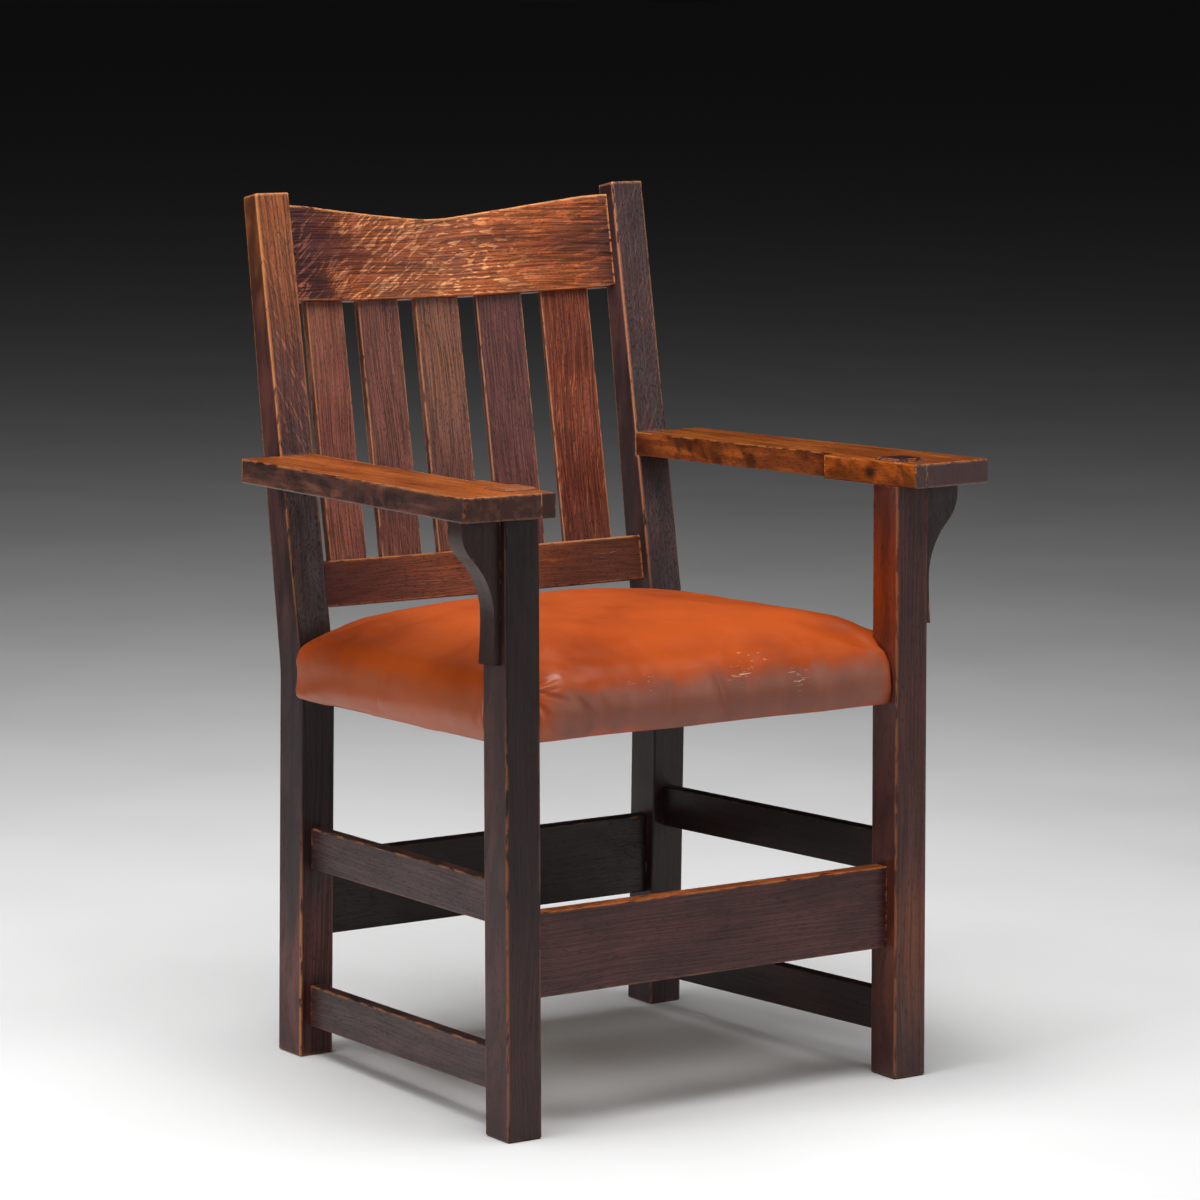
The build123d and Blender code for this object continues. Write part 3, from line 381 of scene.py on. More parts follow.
pieceLooks = {
    "crest_rail": {
        "patches": (
            patchOn((-0.25, 0.2, 0.86), (0.15, 0.5, 0.5), "#37242a"),
            patchOn((0.27, 0.2, 0.86), (0.14, 0.5, 0.5), "#3e241f"),
        ),
        "flecks": (
            fleckField((30, 4.2), 35, 0.66, "#b06c50", 0.85, (-0.25, -0.19, -0.12, -0.06)),
            fleckField((24, 4.4), 31, 0.72, "#e09a68", 0.95, (-0.16, -0.11, -0.04, 0.02)),
            fleckField((17, 4.4), 3, 0.66, "#e09a66", 0.9, (-0.06, 0.0, 0.06, 0.14)),
            fleckField((30, 7.0), 14, 0.66, "#b05a30", 0.8, (0.03, 0.08, 0.18, 0.25)),
        ),
    },
    "lower_back_rail": {
        "patches": (
            patchOn((-0.24, 0.13, 0.47), (0.28, 0.5, 0.5), "#452a28"),
            patchOn((0.22, 0.13, 0.47), (0.20, 0.5, 0.5), "#4c2a1e", 0.9),
        ),
        "flecks": (fleckField((30, 3.0), 4, 0.35, "#a0582c", 0.6, (-0.05, 0.05, 0.2, 0.24)),),
    },
    "left_arm": {
        "shades": (
            {"way": (-1.0, -0.6, 0.0), "tone": darkEdge, "share": 0.95},
            {"way": (-1.0, -0.6, 0.0), "tone": "#7a4c34", "share": 0.35, "drifting": 0.48},
            paintedShadeUnder,
        ),
    },
    "left_arm_strip": {
        "wear": 0.2,
        "shades": (
            {"way": (0.0, -1.0, 0.0), "tone": darkEdge, "share": 0.95},
            paintedShadeUnder,
        ),
    },
    "right_arm": {
        "body": "#6c330f", "light": "#874718",
        "shades": (
            {"way": (1.0, -0.6, 0.0), "tone": "#4e3b3b", "share": 0.95},
            paintedShadeUnder,
            {"way": (-1.0, 0.0, 0.0), "tone": "#3d1b10", "share": 0.6, "drifting": 0.36},
        ),
    },
    "right_arm_strip": {
        "body": "#6c2f08", "light": "#854210", "wear": 0.4,
        "shades": (
            {"way": (0.0, -1.0, 0.0), "tone": "#4e3b3b", "share": 0.95},
            paintedShadeUnder,
        ),
        "patches": knots,
    },
    "front_left_post": {
        "body": "#2c1815", "light": "#3c231f",
        "shades": ({"way": (0.0, -1.0, 0.0), "tone": "#1b100f", "share": 0.7},),
        "patches": (
            patchOn((-0.25, -0.25, 0.665), (0.06, 0.06, 0.022), "#8f4a1a"),
            patchOn((-0.25, -0.26, 0.50), (0.09, 0.09, 0.16), "#241513", 0.5, True),
            patchOn((-0.25, -0.27, 0.10), (0.06, 0.06, 0.16), "#3d2120", 0.8),
        ),
    },
    "front_right_post": {
        "body": "#3c2322", "light": "#4a2b26",
        "patches": (
            patchOn((0.222, -0.235, 0.52), (0.011, 0.07, 0.17), "#6a2503", 1.0),
            patchOn((0.222, -0.25, 0.20), (0.012, 0.07, 0.26), "#4a2018", 0.9),
            patchOn((0.25, -0.27, 0.14), (0.04, 0.03, 0.13), "#6a3a24", 0.8),
            patchOn((0.25, -0.25, 0.667), (0.08, 0.08, 0.030), "#260c06", 1.0),
        ),
    },
    "rear_left_post": {
        "body": "#3f211e", "light": "#512b25", "contrast": 0.9, "wear": 0.9,
        "wearTone": "#d98a4c",
        "patches": (
            patchOn((-0.23, 0.22, 0.94), (0.06, 0.09, 0.25), "#8a4a20", 0.75),
            patchOn((-0.23, 0.10, 0.38), (0.09, 0.30, 0.30), "#261a1a", 0.95, True),
            patchOn((-0.262, 0.18, 0.70), (0.016, 0.40, 0.60), "#2c1a1b", 1.0),
        ),
        "flecks": (fleckField((34, 2.2), 24, 0.52, "#a2603c", 0.6, (0.58, 0.66, 0.95, 0.96)),),
    },
    "rear_right_post": {
        "body": "#362324", "light": "#452c2b", "wear": 0.9, "wearTone": "#c9845a",
        "patches": (patchOn((0.23, 0.10, 0.28), (0.09, 0.30, 0.36), "#2a1a19", 0.9, True),),
        "flecks": (fleckField((34, 2.2), -24, 0.50, "#7a4e46", 0.6, (0.50, 0.60, 0.95, 0.96)),),
    },
    "back_slat_1": {"body": "#744439", "light": "#8a5846"},
    "back_slat_2": {"body": "#603830", "light": "#744638",
                    "flecks": (fleckField((26, 2.4), 30, 0.40, "#8a5640", 0.5),)},
    "back_slat_3": {"body": "#5c342b", "light": "#6e4234",
                    "patches": (patchOn((0.0, 0.2, 0.78), (0.08, 0.10, 0.18), "#8a5a3c", 0.6),)},
    "back_slat_4": {"body": "#4e2c2a", "light": "#5e3732",
                    "flecks": (fleckField((26, 2.4), 30, 0.40, "#7e4e3e", 0.5),)},
    "back_slat_5": {"body": "#5c2a1e", "light": "#753c28",
                    "patches": (patchOn((0.15, 0.15, 0.50), (0.08, 0.10, 0.12), "#36201c", 0.7),),
                    "flecks": (fleckField((34, 2.6), -10, 0.54, "#a4603c", 0.6),)},
    "front_stretcher": {
        "body": "#3a1e1c", "light": "#4e2b28",
        "shades": ({"way": (0.0, 0.0, 1.0), "tone": "#b4602c", "share": 0.9, "ragged": 0.34},),
    },
    "right_corbel": {"body": "#352927", "light": "#43332f"},
    "left_upper_stretcher": {"body": "#322021", "light": "#45302e"},
    "left_lower_stretcher": {"body": "#322021", "light": "#45302e"},
    # Painted shade: the rear and right stretchers, on the chair's shaded side, are toned darker than the left
    # ones
    "rear_stretcher": {"body": "#211513", "light": "#2d1d1a", "wear": 0.2},
    "right_upper_stretcher": {"body": "#1f1413", "light": "#2a1b19", "wear": 0.2},
    "right_lower_stretcher": {"body": "#241614", "light": "#301e1b", "wear": 0.2},
}


def lookOf(name):
    for kind, look in woodLooks.items():        # dowels come first, because arm_dowels names an arm as well
        if kind in name.replace("_block", "_seat_rail"):
            return {**look, **pieceLooks.get(name, {})}
    return None


for index, name in enumerate(sorted(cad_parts)):
    look = lookOf(name)
    if look is None:
        continue
    if "stretcher" in name or "seat_rail" in name:
        sideways = name.startswith(("left", "right"))
        look["grain"] = forward if sideways else across
        look["face"] = across if sideways else forward
    board = {"grain": look.pop("grain"), "face": look.pop("face"), "seed": index + 1}
    dress(name, makeOak("fumed oak " + name, board, look))
print("wood finished")

# Jute under the seat: plain weave of coarse spun thread, matt, with thick and thin places. It is drawn at its
# real thread spacing. Lengths are in millimetres.
juteBasics = {"slub": 6.25, "slubLimits": (0.1, 0.7), "relief": 0.6, "dark": "#6e5530"}
weaveLooks = {
    "long_webbing": {"thread": 2.4, "light": "#b39762"},
    "cross_webbing": {"thread": 2.4, "light": "#ad9160"},
    "seat_burlap": {"thread": 1.8, "dark": "#5f4a2c", "light": "#a98c5c"},
}


def makeJute(name, look):
    look = {**juteBasics, **look}
    material, tree = startMaterial("jute cloth " + name)
    place = addNode(tree, "TexCoord", output="Object")
    threads = []
    for axis in (0, 1):
        distance = addNode(tree, "SeparateXYZ", (place,), axis)
        turn = addNode(tree, "Math", (distance, math.pi * 1000 / look["thread"]), operation="MULTIPLY")
        threads.append(addNode(tree, "Math", (turn,), operation="SINE"))
    crossing = addNode(tree, "Math", threads, operation="MULTIPLY")
    over = addNode(tree, "Math", (crossing, 0.0), operation="GREATER_THAN")
    under = addNode(tree, "Math", (1.0, over), operation="SUBTRACT")
    rise = 0.0
    for thread, shown in zip(threads, (over, under)):
        thread = addNode(tree, "Math", (thread,), operation="ABSOLUTE")
        rise = addNode(tree, "Math", (thread, shown, rise), operation="MULTIPLY_ADD")
    slub = addNode(tree, "TexNoise", {"Vector": place, "Scale": 1000 / look["slub"], "Detail": 3.0})
    slub = addNode(tree, "MapRange", (slub, *look["slubLimits"]))
    # Painted shade: the cloth is darker where the threads dip between each other, along with the real thick
    # and thin places
    tone = addNode(tree, "Math", (rise, slub), operation="MULTIPLY")
    colour = addNode(tree, "Mix", {0: tone, 6: look["dark"], 7: look["light"]}, **toneMix)
    bump = addNode(tree, "Bump", {"Height": rise, "Strength": 0.6, "Distance": look["relief"] / 1000})
    finishMaterial(tree, {"Base Color": colour, "Roughness": 0.85, "Specular IOR Level": 0.2, "Normal": bump})
    return material


for name, look in weaveLooks.items():
    dress(name, makeJute(name, look))

# Turned steel wood screws gone brown, and blued iron tacks: dull metal with darker spots of rust
metalBasics = {"rustLimits": (0.45, 0.65), "rustRough": 0.3, "metallic": 0.9}
metalLooks = {
    "block_screws": {"real": "bright steel, tarnished", "bright": "#8d857a", "dull": "#4c3c30",
                     "spot": 1.1111, "rough": 0.35},
    "cover_tacks": {"real": "blued iron", "bright": "#3a3a40", "dull": "#231b18",
                    "spot": 1.4286, "rough": 0.45},
}
for name, look in metalLooks.items():
    look = {**metalBasics, **look}
    metal, tree = startMaterial(look["real"])
    place = addNode(tree, "TexCoord", output="Object")
    spots = addNode(tree, "TexNoise", {"Vector": place, "Scale": 1000 / look["spot"], "Detail": 3.0})
    rust = addNode(tree, "MapRange", (spots, *look["rustLimits"]))
    colour = addNode(tree, "Mix", {0: rust, 6: look["bright"], 7: look["dull"]}, **toneMix)
    rough = addNode(tree, "Math", (rust, look["rustRough"], look["rough"]), operation="MULTIPLY_ADD")
    finishMaterial(tree, {"Base Color": colour, "Metallic": look["metallic"], "Roughness": rough})
    dress(name, metal)
print("jute, screws and tacks finished")

# Seat: leather drawn over a crowned pad. Lengths are in millimetres in the chair's own leaning frame:
# x across, depth back from the front posts' faces, height up the posts. Pairs are front and rear.
seat = {
    "lean": 1.66,                # how far the whole frame leans back, in degrees
    "start": -283.72,            # where depth 0 meets the floor
    "bottom": 400.0,
    "crown": 97.0,               # height of the crown over the bottom, before the leather swells
    "half": (264.0, 253.5),      # half width of the pad at its front and at the rear posts
    "depth": (8.0, 438.0),
    "frontSlope": 134.0,
    "rearSlope": 82.0,
    "corner": 14.0,
    "cornerGrowth": (0.0, 1.5),  # how much of crownShares' growth of corners each takes
    "cornerSteps": 8,
    "sideSteps": 24,
    "postSize": 41.3,
    "frontInner": 225.7,
    "rearInner": 210.0,
    "rearPost": 405.3,
    "bend": 427.0,               # the rear posts bend at this height, and rake back by so many degrees above
    "rake": 9.36,
    "clearance": 0.8,
    "squeeze": 4.0,              # the pad starts this far into the posts and is then pressed flat on them
    "overcut": {"front": 40.0, "back": 90.0, "below": 20.0, "above": 30.0},     # of the cuts for the posts
    "tackedBelow": 3.0,          # leather up to here over the bottom stays put when it is blown up
    "smoothing": {"factor": 0.5, "iterations": 3},
    "lip": 22.0,                 # width of the leather underneath
    "openBelow": 12.0,           # faces that look down and lie lower than this are opened inside the lip
    "lookingDown": -0.5,
    "thickness": 2.0,
    "voxel": 6.0,
    "pressure": 4.0,
    "frames": 20,
    "quality": 6,
    "cap": 5.0,                  # furthest that the simulation may move a point
    "unevenness": 0.8,
    "lumps": ((22, 1.0), (55, 0.5)),        # how many to a metre, and how strong
    "smoothBelow": 8.0,          # no lumps this near the bottom
    "fullHalf": (267.5, 265.0),  # half width of the full form, the leather drawn tight over the rails
    "fullDepth": (5.0, 442.0),
    "fullTop": 425.0,            # the form is widest at this height
    "sideRoll": 0.010,           # how fast it turns in above that at the sides, and at the front and back
    "frontRoll": 0.014,
    "tuck": 0.0105,              # how fast it turns in below
    "rollHeight": 46.0,          # how far above fullTop it reaches
    "pull": (9.0, 30.0),         # leather nearer to it than this is drawn onto it, and less so up to here
    "flatBelow": 2.5,            # leather this near the bottom is laid flat on it
    "hem": (5.0, 12.0),          # height and width of the lower edge that hangs
    "sag": 2.2,                  # how far it hangs
    "sagMean": 0.6,              # as a share of that on the average, and how many waves to a metre
    "sagWaves": 14,
}

# Rise of each crown contour, as a share of the crown, how far it is drawn in, as shares of the half width,
# the front slope and the rear slope, and the growth of its corners, as a share of its half depth
crownShares = (
    (0.000, 0.012, 0.024, 0.040, 0.000),
    (0.070, 0.002, 0.004, 0.008, 0.000),
    (0.220, 0.000, 0.000, 0.000, 0.000),
    (0.390, 0.002, 0.006, 0.006, 0.020),
    (0.520, 0.010, 0.050, 0.040, 0.050),
    (0.620, 0.028, 0.150, 0.110, 0.110),
    (0.720, 0.068, 0.290, 0.220, 0.170),
    (0.820, 0.155, 0.490, 0.380, 0.270),
    (0.900, 0.300, 0.740, 0.680, 0.340),
    (0.960, 0.480, 1.000, 0.960, 0.370),
    (1.000, 0.680, 1.350, 1.350, 0.380),
)


def seatPoint(x, depth, height):
    turn = math.radians(seat["lean"])
    back = seat["start"] + depth * math.cos(turn) + height * math.sin(turn)
    return Vector((x, back, height * math.cos(turn) - depth * math.sin(turn))) / 1000


def seatPlace(point):
    turn = math.radians(seat["lean"])
    x, back, up = point * 1000
    back -= seat["start"]
    return x, back * math.cos(turn) - up * math.sin(turn), up * math.cos(turn) + back * math.sin(turn)


def halfWidth(depth):
    front, rear = seat["half"]
    return front + (rear - front) * (depth - seat["depth"][0]) / (seat["rearPost"] - seat["depth"][0])


def contour(sideShare, frontShare, rearShare, cornerShare):
    near = seat["depth"][0] + frontShare * seat["frontSlope"]
    far = seat["depth"][1] - rearShare * seat["rearSlope"]
    inset = sideShare * seat["half"][0]
    grown = cornerShare * (far - near) / 2
    tight, loose = (seat["corner"] + growth * grown for growth in seat["cornerGrowth"])
    steps, points = seat["cornerSteps"], []
    front, rear = (near + tight, tight), (far - loose, loose)
    for number, (side, (depth, radius)) in enumerate(((1, front), (1, rear), (-1, rear), (-1, front))):
        x = side * (halfWidth(depth) - inset - radius)
        turns = [math.radians(90 * (number - 1 + step / steps)) for step in range(steps + 1)]
        arc = [Vector((x + radius * math.cos(turn), depth + radius * math.sin(turn))) for turn in turns]
        if points:
            last, gap = points[-1], seat["sideSteps"]
            points += [last.lerp(arc[0], step / gap) for step in range(1, gap)]
        points += arc
    last, gap = points[-1], seat["sideSteps"]
    return points + [last.lerp(points[0], step / gap) for step in range(1, gap)]


def selectOnly(piece):
    bpy.ops.object.select_all(action="DESELECT")
    piece.select_set(True)
    bpy.context.view_layer.objects.active = piece


def applyModifier(piece, kind, **values):
    selectOnly(piece)
    step = piece.modifiers.new(kind.lower(), kind)
    for key, value in values.items():
        setattr(step, key, value)
    bpy.ops.object.modifier_apply(modifier=step.name)


def shapePad():
    count = len(contour(*crownShares[0][1:]))
    bpy.ops.object.select_all(action="DESELECT")
    bpy.ops.mesh.primitive_circle_add(vertices=count, radius=1)
    pad = bpy.context.active_object
    pad.name = "leather_seat"
    shape = bmesh.new()
    shape.from_mesh(pad.data)
    shape.verts.ensure_lookup_table()
    ring = {corner: number for number, corner in enumerate(shape.verts)}
    rim = list(shape.edges)
    bmesh.ops.edgeloop_fill(shape, edges=rim)
    for level, (rise, *shares) in enumerate(crownShares):       # the sides rise contour by contour
        if level:
            grown = bmesh.ops.extrude_edge_only(shape, edges=rim)["geom"]
            rim = [part for part in grown if isinstance(part, bmesh.types.BMEdge)]
            upper = {}
            for corner in (part for part in grown if isinstance(part, bmesh.types.BMVert)):
                ends = [edge.other_vert(corner) for edge in corner.link_edges]
                upper[corner] = next(ring[end] for end in ends if end in ring)
            ring = upper
        points = contour(*shares)
        for corner, number in ring.items():
            corner.co = seatPoint(*points[number], seat["bottom"] + rise * seat["crown"])
    bmesh.ops.edgeloop_fill(shape, edges=rim)
    bmesh.ops.recalc_face_normals(shape, faces=shape.faces)
    shape.to_mesh(pad.data)
    shape.free()
    return pad


def cutForPost(pad, inner, near, far, side, rear):
    bpy.ops.object.select_all(action="DESELECT")
    bpy.ops.mesh.primitive_cube_add(size=2)
    block = bpy.context.active_object
    low = seat["bottom"] - seat["overcut"]["below"]
    high = seat["bottom"] + seat["crown"] + seat["overcut"]["above"]
    slope = math.tan(math.radians(seat["rake"]))
    for corner in block.data.vertices:
        x = side * (inner + seat["squeeze"] if corner.co.x * side < 0 else inner + 2 * seat["postSize"])
        height = low if corner.co.z < 0 else high
        depth = far if corner.co.y > 0 else near
        if rear and corner.co.y < 0:
            depth += (height - seat["bend"]) * slope if height > seat["bend"] else 0
        corner.co = seatPoint(x, depth, height)
    selectOnly(block)
    bpy.ops.object.mode_set(mode="EDIT")
    bpy.ops.mesh.select_all(action="SELECT")
    bpy.ops.mesh.normals_make_consistent(inside=False)
    bpy.ops.object.mode_set(mode="OBJECT")
    applyModifier(pad, "BOOLEAN", operation="DIFFERENCE", object=block, solver="EXACT")
    bpy.data.objects.remove(block)


def blowUp(pad):
    start = [corner.co.copy() for corner in pad.data.vertices]
    pinned = pad.vertex_groups.new(name="tacked")
    lowest = seat["bottom"] + seat["tackedBelow"]
    tacked = [i for i, spot in enumerate(start) if seatPlace(spot)[2] < lowest]
    pinned.add(tacked, 1.0, "REPLACE")
    step = pad.modifiers.new("stuffing", "CLOTH")
    step.settings.use_pressure = True
    step.settings.uniform_pressure_force = seat["pressure"]
    step.settings.vertex_group_mass = "tacked"
    step.settings.effector_weights.gravity = 0
    step.settings.quality = seat["quality"]
    step.point_cache.frame_start = 1
    step.point_cache.frame_end = seat["frames"]
    for number in range(1, seat["frames"] + 1):
        bpy.context.scene.frame_set(number)
    selectOnly(pad)
    bpy.ops.object.modifier_apply(modifier="stuffing")
    bpy.context.scene.frame_set(1)
    cap = seat["cap"] / 1000
    for corner, old in zip(pad.data.vertices, start):
        move = corner.co - old
        if move.length > cap:
            corner.co = old + move.normalized() * cap
    pad.vertex_groups.clear()


def keepOffPosts(pad):
    room = seat["clearance"]
    slope = math.tan(math.radians(seat["rake"]))
    for corner in pad.data.vertices:
        x, depth, height = seatPlace(corner.co)
        side = 1 if x > 0 else -1
        frontRoom = seat["postSize"] + room
        rearFace = seat["rearPost"] - room
        if height > seat["bend"]:
            rearFace += (height - seat["bend"]) * slope
        inFront = abs(x) > seat["frontInner"] - room and depth < frontRoom
        behind = abs(x) > seat["rearInner"] - room and depth > rearFace
        if inFront:
            acrossGap, backGap = abs(x) - seat["frontInner"] + room, frontRoom - depth
            if acrossGap < backGap:
                x -= side * acrossGap
            else:
                depth = frontRoom
        if behind:
            acrossGap, backGap = abs(x) - seat["rearInner"] + room, depth - rearFace
            if acrossGap < backGap:
                x -= side * acrossGap
            else:
                depth = rearFace
        corner.co = seatPoint(x, depth, height)


def drawnOut(gap):
    near, far = seat["pull"]
    if gap > far:
        return gap
    share = max(gap - near, 0.0) / (far - near)
    return far * share ** 2 * (3 - 2 * share) - (far - near) * share ** 2 * (1 - share)


def fillOut(pad):
    low, high = seat["bottom"], seat["fullTop"]
    hemHeight, hemWidth = seat["hem"]
    for corner in pad.data.vertices:
        x, depth, height = seatPlace(corner.co)
        if height > high + seat["rollHeight"]:
            continue
        front, rear = seat["fullHalf"]
        tuck = max(0.0, high - height) ** 2 * seat["tuck"]
        roll = max(0.0, height - high) ** 2
        widest = front + (rear - front) * depth / seat["rearPost"] - tuck - roll * seat["sideRoll"]
        near = seat["fullDepth"][0] + tuck + roll * seat["frontRoll"]
        far = seat["fullDepth"][1] - tuck - roll * seat["frontRoll"]
        edge = min(widest - abs(x), depth - near, far - depth)
        x = math.copysign(widest - drawnOut(widest - abs(x)), x)
        depth = near + drawnOut(depth - near)
        if abs(x) < seat["rearInner"]:
            depth = far - drawnOut(far - depth)
        height = low if height < low + seat["flatBelow"] else height
        if height < low + hemHeight and edge < hemWidth:
            waver = seat["sagMean"] + noise.noise(corner.co * seat["sagWaves"])
            height -= seat["sag"] * (1 - edge / hemWidth) * waver
        corner.co = seatPoint(x, depth, height)


# Creases and dimples, each from one point to another of a face: across and up it from the bottom edge, or
# across and back on the top, and back and up on the left. The faces reach this far in, the top this low.
faceReach = {"front": 70.0, "left": 40.0, "top": 60.0}
seatCreases = (
    {"face": "front", "from": (-60, 50), "to": (-62, 12), "wide": 5.0, "deep": 2.0},
    {"face": "front", "from": (1, 54), "to": (10, 10), "wide": 5.0, "deep": 2.375},
    {"face": "front", "from": (34, 62), "to": (39, 30), "wide": 2.6, "deep": 1.125},
    {"face": "front", "from": (108, 50), "to": (111, 16), "wide": 2.8, "deep": 1.75},
    {"face": "front", "from": (-150, 44), "to": (-140, 14), "wide": 6.0, "deep": 1.5},
    {"face": "front", "from": (-181, 50), "to": (-155, 10), "wide": 4.0, "deep": 1.875},
    {"face": "front", "from": (-226, 60), "to": (-180, 36), "wide": 4.0, "deep": 3.0},
    {"face": "front", "from": (-228, 46), "to": (-202, 10), "wide": 3.5, "deep": 2.0},
    {"face": "front", "from": (-230, 62), "to": (-186, 80), "wide": 4.5, "deep": 2.25},
    {"face": "front", "from": (-230, 56), "to": (-192, 58), "wide": 3.0, "deep": 1.5},
    {"face": "left", "from": (243, 56), "to": (241, 8), "wide": 3.0, "deep": 1.125},
    {"face": "left", "from": (62, 62), "to": (52, 14), "wide": 6.0, "deep": 1.75},
    {"face": "top", "from": (-100, 352), "to": (40, 344), "wide": 5.0, "deep": 0.875},
    {"face": "top", "from": (-90, 374), "to": (60, 368), "wide": 5.0, "deep": 1.0},
    {"face": "top", "from": (-60, 328), "to": (30, 324), "wide": 5.0, "deep": 0.625},
)


def creaseDepth(x, depth, height):
    up = height - seat["bottom"]
    near = max(0.0, depth - seat["depth"][0])
    flank = max(0.0, halfWidth(depth) - abs(x))
    faces = {"front": (x, up + near) if near < faceReach["front"] else None,
             "left": (depth, up + flank) if x < 0 and flank < faceReach["left"] else None,
             "top": (x, depth) if up > faceReach["top"] else None}
    total = 0.0
    for crease in seatCreases:
        spot = faces[crease["face"]]
        if spot is None:
            continue
        start, end = Vector(crease["from"]), Vector(crease["to"])
        way = end - start
        share = (Vector(spot) - start).dot(way) / way.length_squared
        if not 0 < share < 1:
            continue
        off = (Vector(spot) - start - way * share).length
        fade = math.sqrt(4 * share * (1 - share))       # a crease runs out to nothing at both ends
        total += crease["deep"] * math.exp(-(off / crease["wide"]) ** 2) * fade
    return total


def creaseSeat(pad):
    moves = []
    for corner in pad.data.vertices:
        x, depth, height = seatPlace(corner.co)
        lump = sum(strength * noise.noise(corner.co * rate) for rate, strength in seat["lumps"])
        lift = seat["unevenness"] * lump if height > seat["bottom"] + seat["smoothBelow"] else 0.0
        moves.append(corner.normal * (lift - creaseDepth(x, depth, height)) / 1000)
    for corner, move in zip(pad.data.vertices, moves):
        corner.co += move


pad = shapePad()
over, squeeze, rearPost = seat["overcut"], seat["squeeze"], seat["rearPost"]
for side in (-1, 1):
    cutForPost(pad, seat["frontInner"], -over["front"], seat["postSize"] - squeeze, side, False)
    cutForPost(pad, seat["rearInner"], rearPost + squeeze, rearPost + over["back"], side, True)
print("pad shaped:", len(pad.data.polygons), "faces")
applyModifier(pad, "REMESH", mode="VOXEL", voxel_size=seat["voxel"] / 1000)
applyModifier(pad, "SMOOTH", **seat["smoothing"])
blowUp(pad)
keepOffPosts(pad)
fillOut(pad)
applyModifier(pad, "SMOOTH", **seat["smoothing"])
keepOffPosts(pad)
print("seat blown up:", len(pad.data.polygons), "faces")

# Underneath, the leather ends in a lip tacked to the rails
shape = bmesh.new()
shape.from_mesh(pad.data)
below = []
for face in shape.faces:
    x, depth, height = seatPlace(face.calc_center_median())
    near, far = seat["depth"]
    inside = min(halfWidth(depth) - abs(x), depth - near, far - depth)
    low = height < seat["bottom"] + seat["openBelow"]
    if low and inside > seat["lip"] and face.normal.z < seat["lookingDown"]:
        below.append(face)
bmesh.ops.delete(shape, geom=below, context="FACES")
shape.to_mesh(pad.data)
shape.free()
applyModifier(pad, "SUBSURF", levels=1, render_levels=1)
creaseSeat(pad)
keepOffPosts(pad)
applyModifier(pad, "SOLIDIFY", thickness=seat["thickness"] / 1000, offset=-1)
selectOnly(pad)
bpy.ops.object.shade_smooth()

# Pigmented cowhide, waxed to a soft gloss: even orange brown on top, with painted shade and painted
# reflection turning it mauve where the sides turn down, painted shade and highlights of folds streaked along
# the front, and scuffed white in a few places of its roll. Sizes are in millimetres.
leatherLook = {
    "dark": "#8a3610", "body": "#a34415", "light": "#b24d1a",
    "bodyLimits": (0.30, 0.52), "lightLimits": (0.50, 0.72),
    "noises": {                  # size and detail
        "cloud": (142.86, 3.0),
        "patina": (26.316, 4.0),
        "drift": (62.5, 1.0),
    },
    # Painted shade and painted reflection: where the front and sides turn down, they are mixed to these mauve
    # tones
    "front": {"tone": "#804a39", "share": 0.9, "way": forward, "limits": (0.15, 0.55)},
    "flank": {"tone": "#8b4d36", "share": 0.65, "way": across, "limits": (0.35, 0.75)},
    "turn": (459.0, 436.0),      # the painted shade and reflection on the sides end between these heights
    "waver": {"patina": 24.0, "drift": 20.0},       # how far that line wanders with the noises
    "hem": (395.0, 405.0),
    "ends": ((-224, -186), (229, 200)),     # the painted shade and reflection on the front fade between these places beside the posts
    # Painted shade and painted highlights of the folds, as vertical streaks on the front
    "foldShadeStreaks": {"size": (33.333, 33.333, 76.923), "share": 0.45,
                "tones": (("#6f4033", 0.50, 0.34), ("#945e4b", 0.52, 0.68))},
    "pebble": 1.4,               # between the pebbles of the grain, twice the real one so that it shows
    "relief": {"patina": 2.0, "depth": 0.2},
    "smooth": 0.26,              # roughness where it has kept most gloss
    "patinaRough": 0.16,         # how much rougher it gets with the patina, and on the front with painted shade and reflection
    "frontRough": 0.12,
    "scuffTone": "#e8cdb8",
    "scuffShare": 0.7,
    "scratch": (13.333, 13.333, 1.1111),
    "scratchLimits": (0.66, 0.70),
    "scuffLimits": (1.0, 0.6),
    "scuffs": (                  # where, how far each reaches, and the turn of its scratches in degrees
        ((45, 26, 462), (30, 40, 24), 40),
        ((105, 6, 442), (16, 14, 22), 75),
        ((-96, 14, 446), (30, 16, 14), -50),
        ((28, 12, 448), (16, 16, 16), 20),
    ),
}


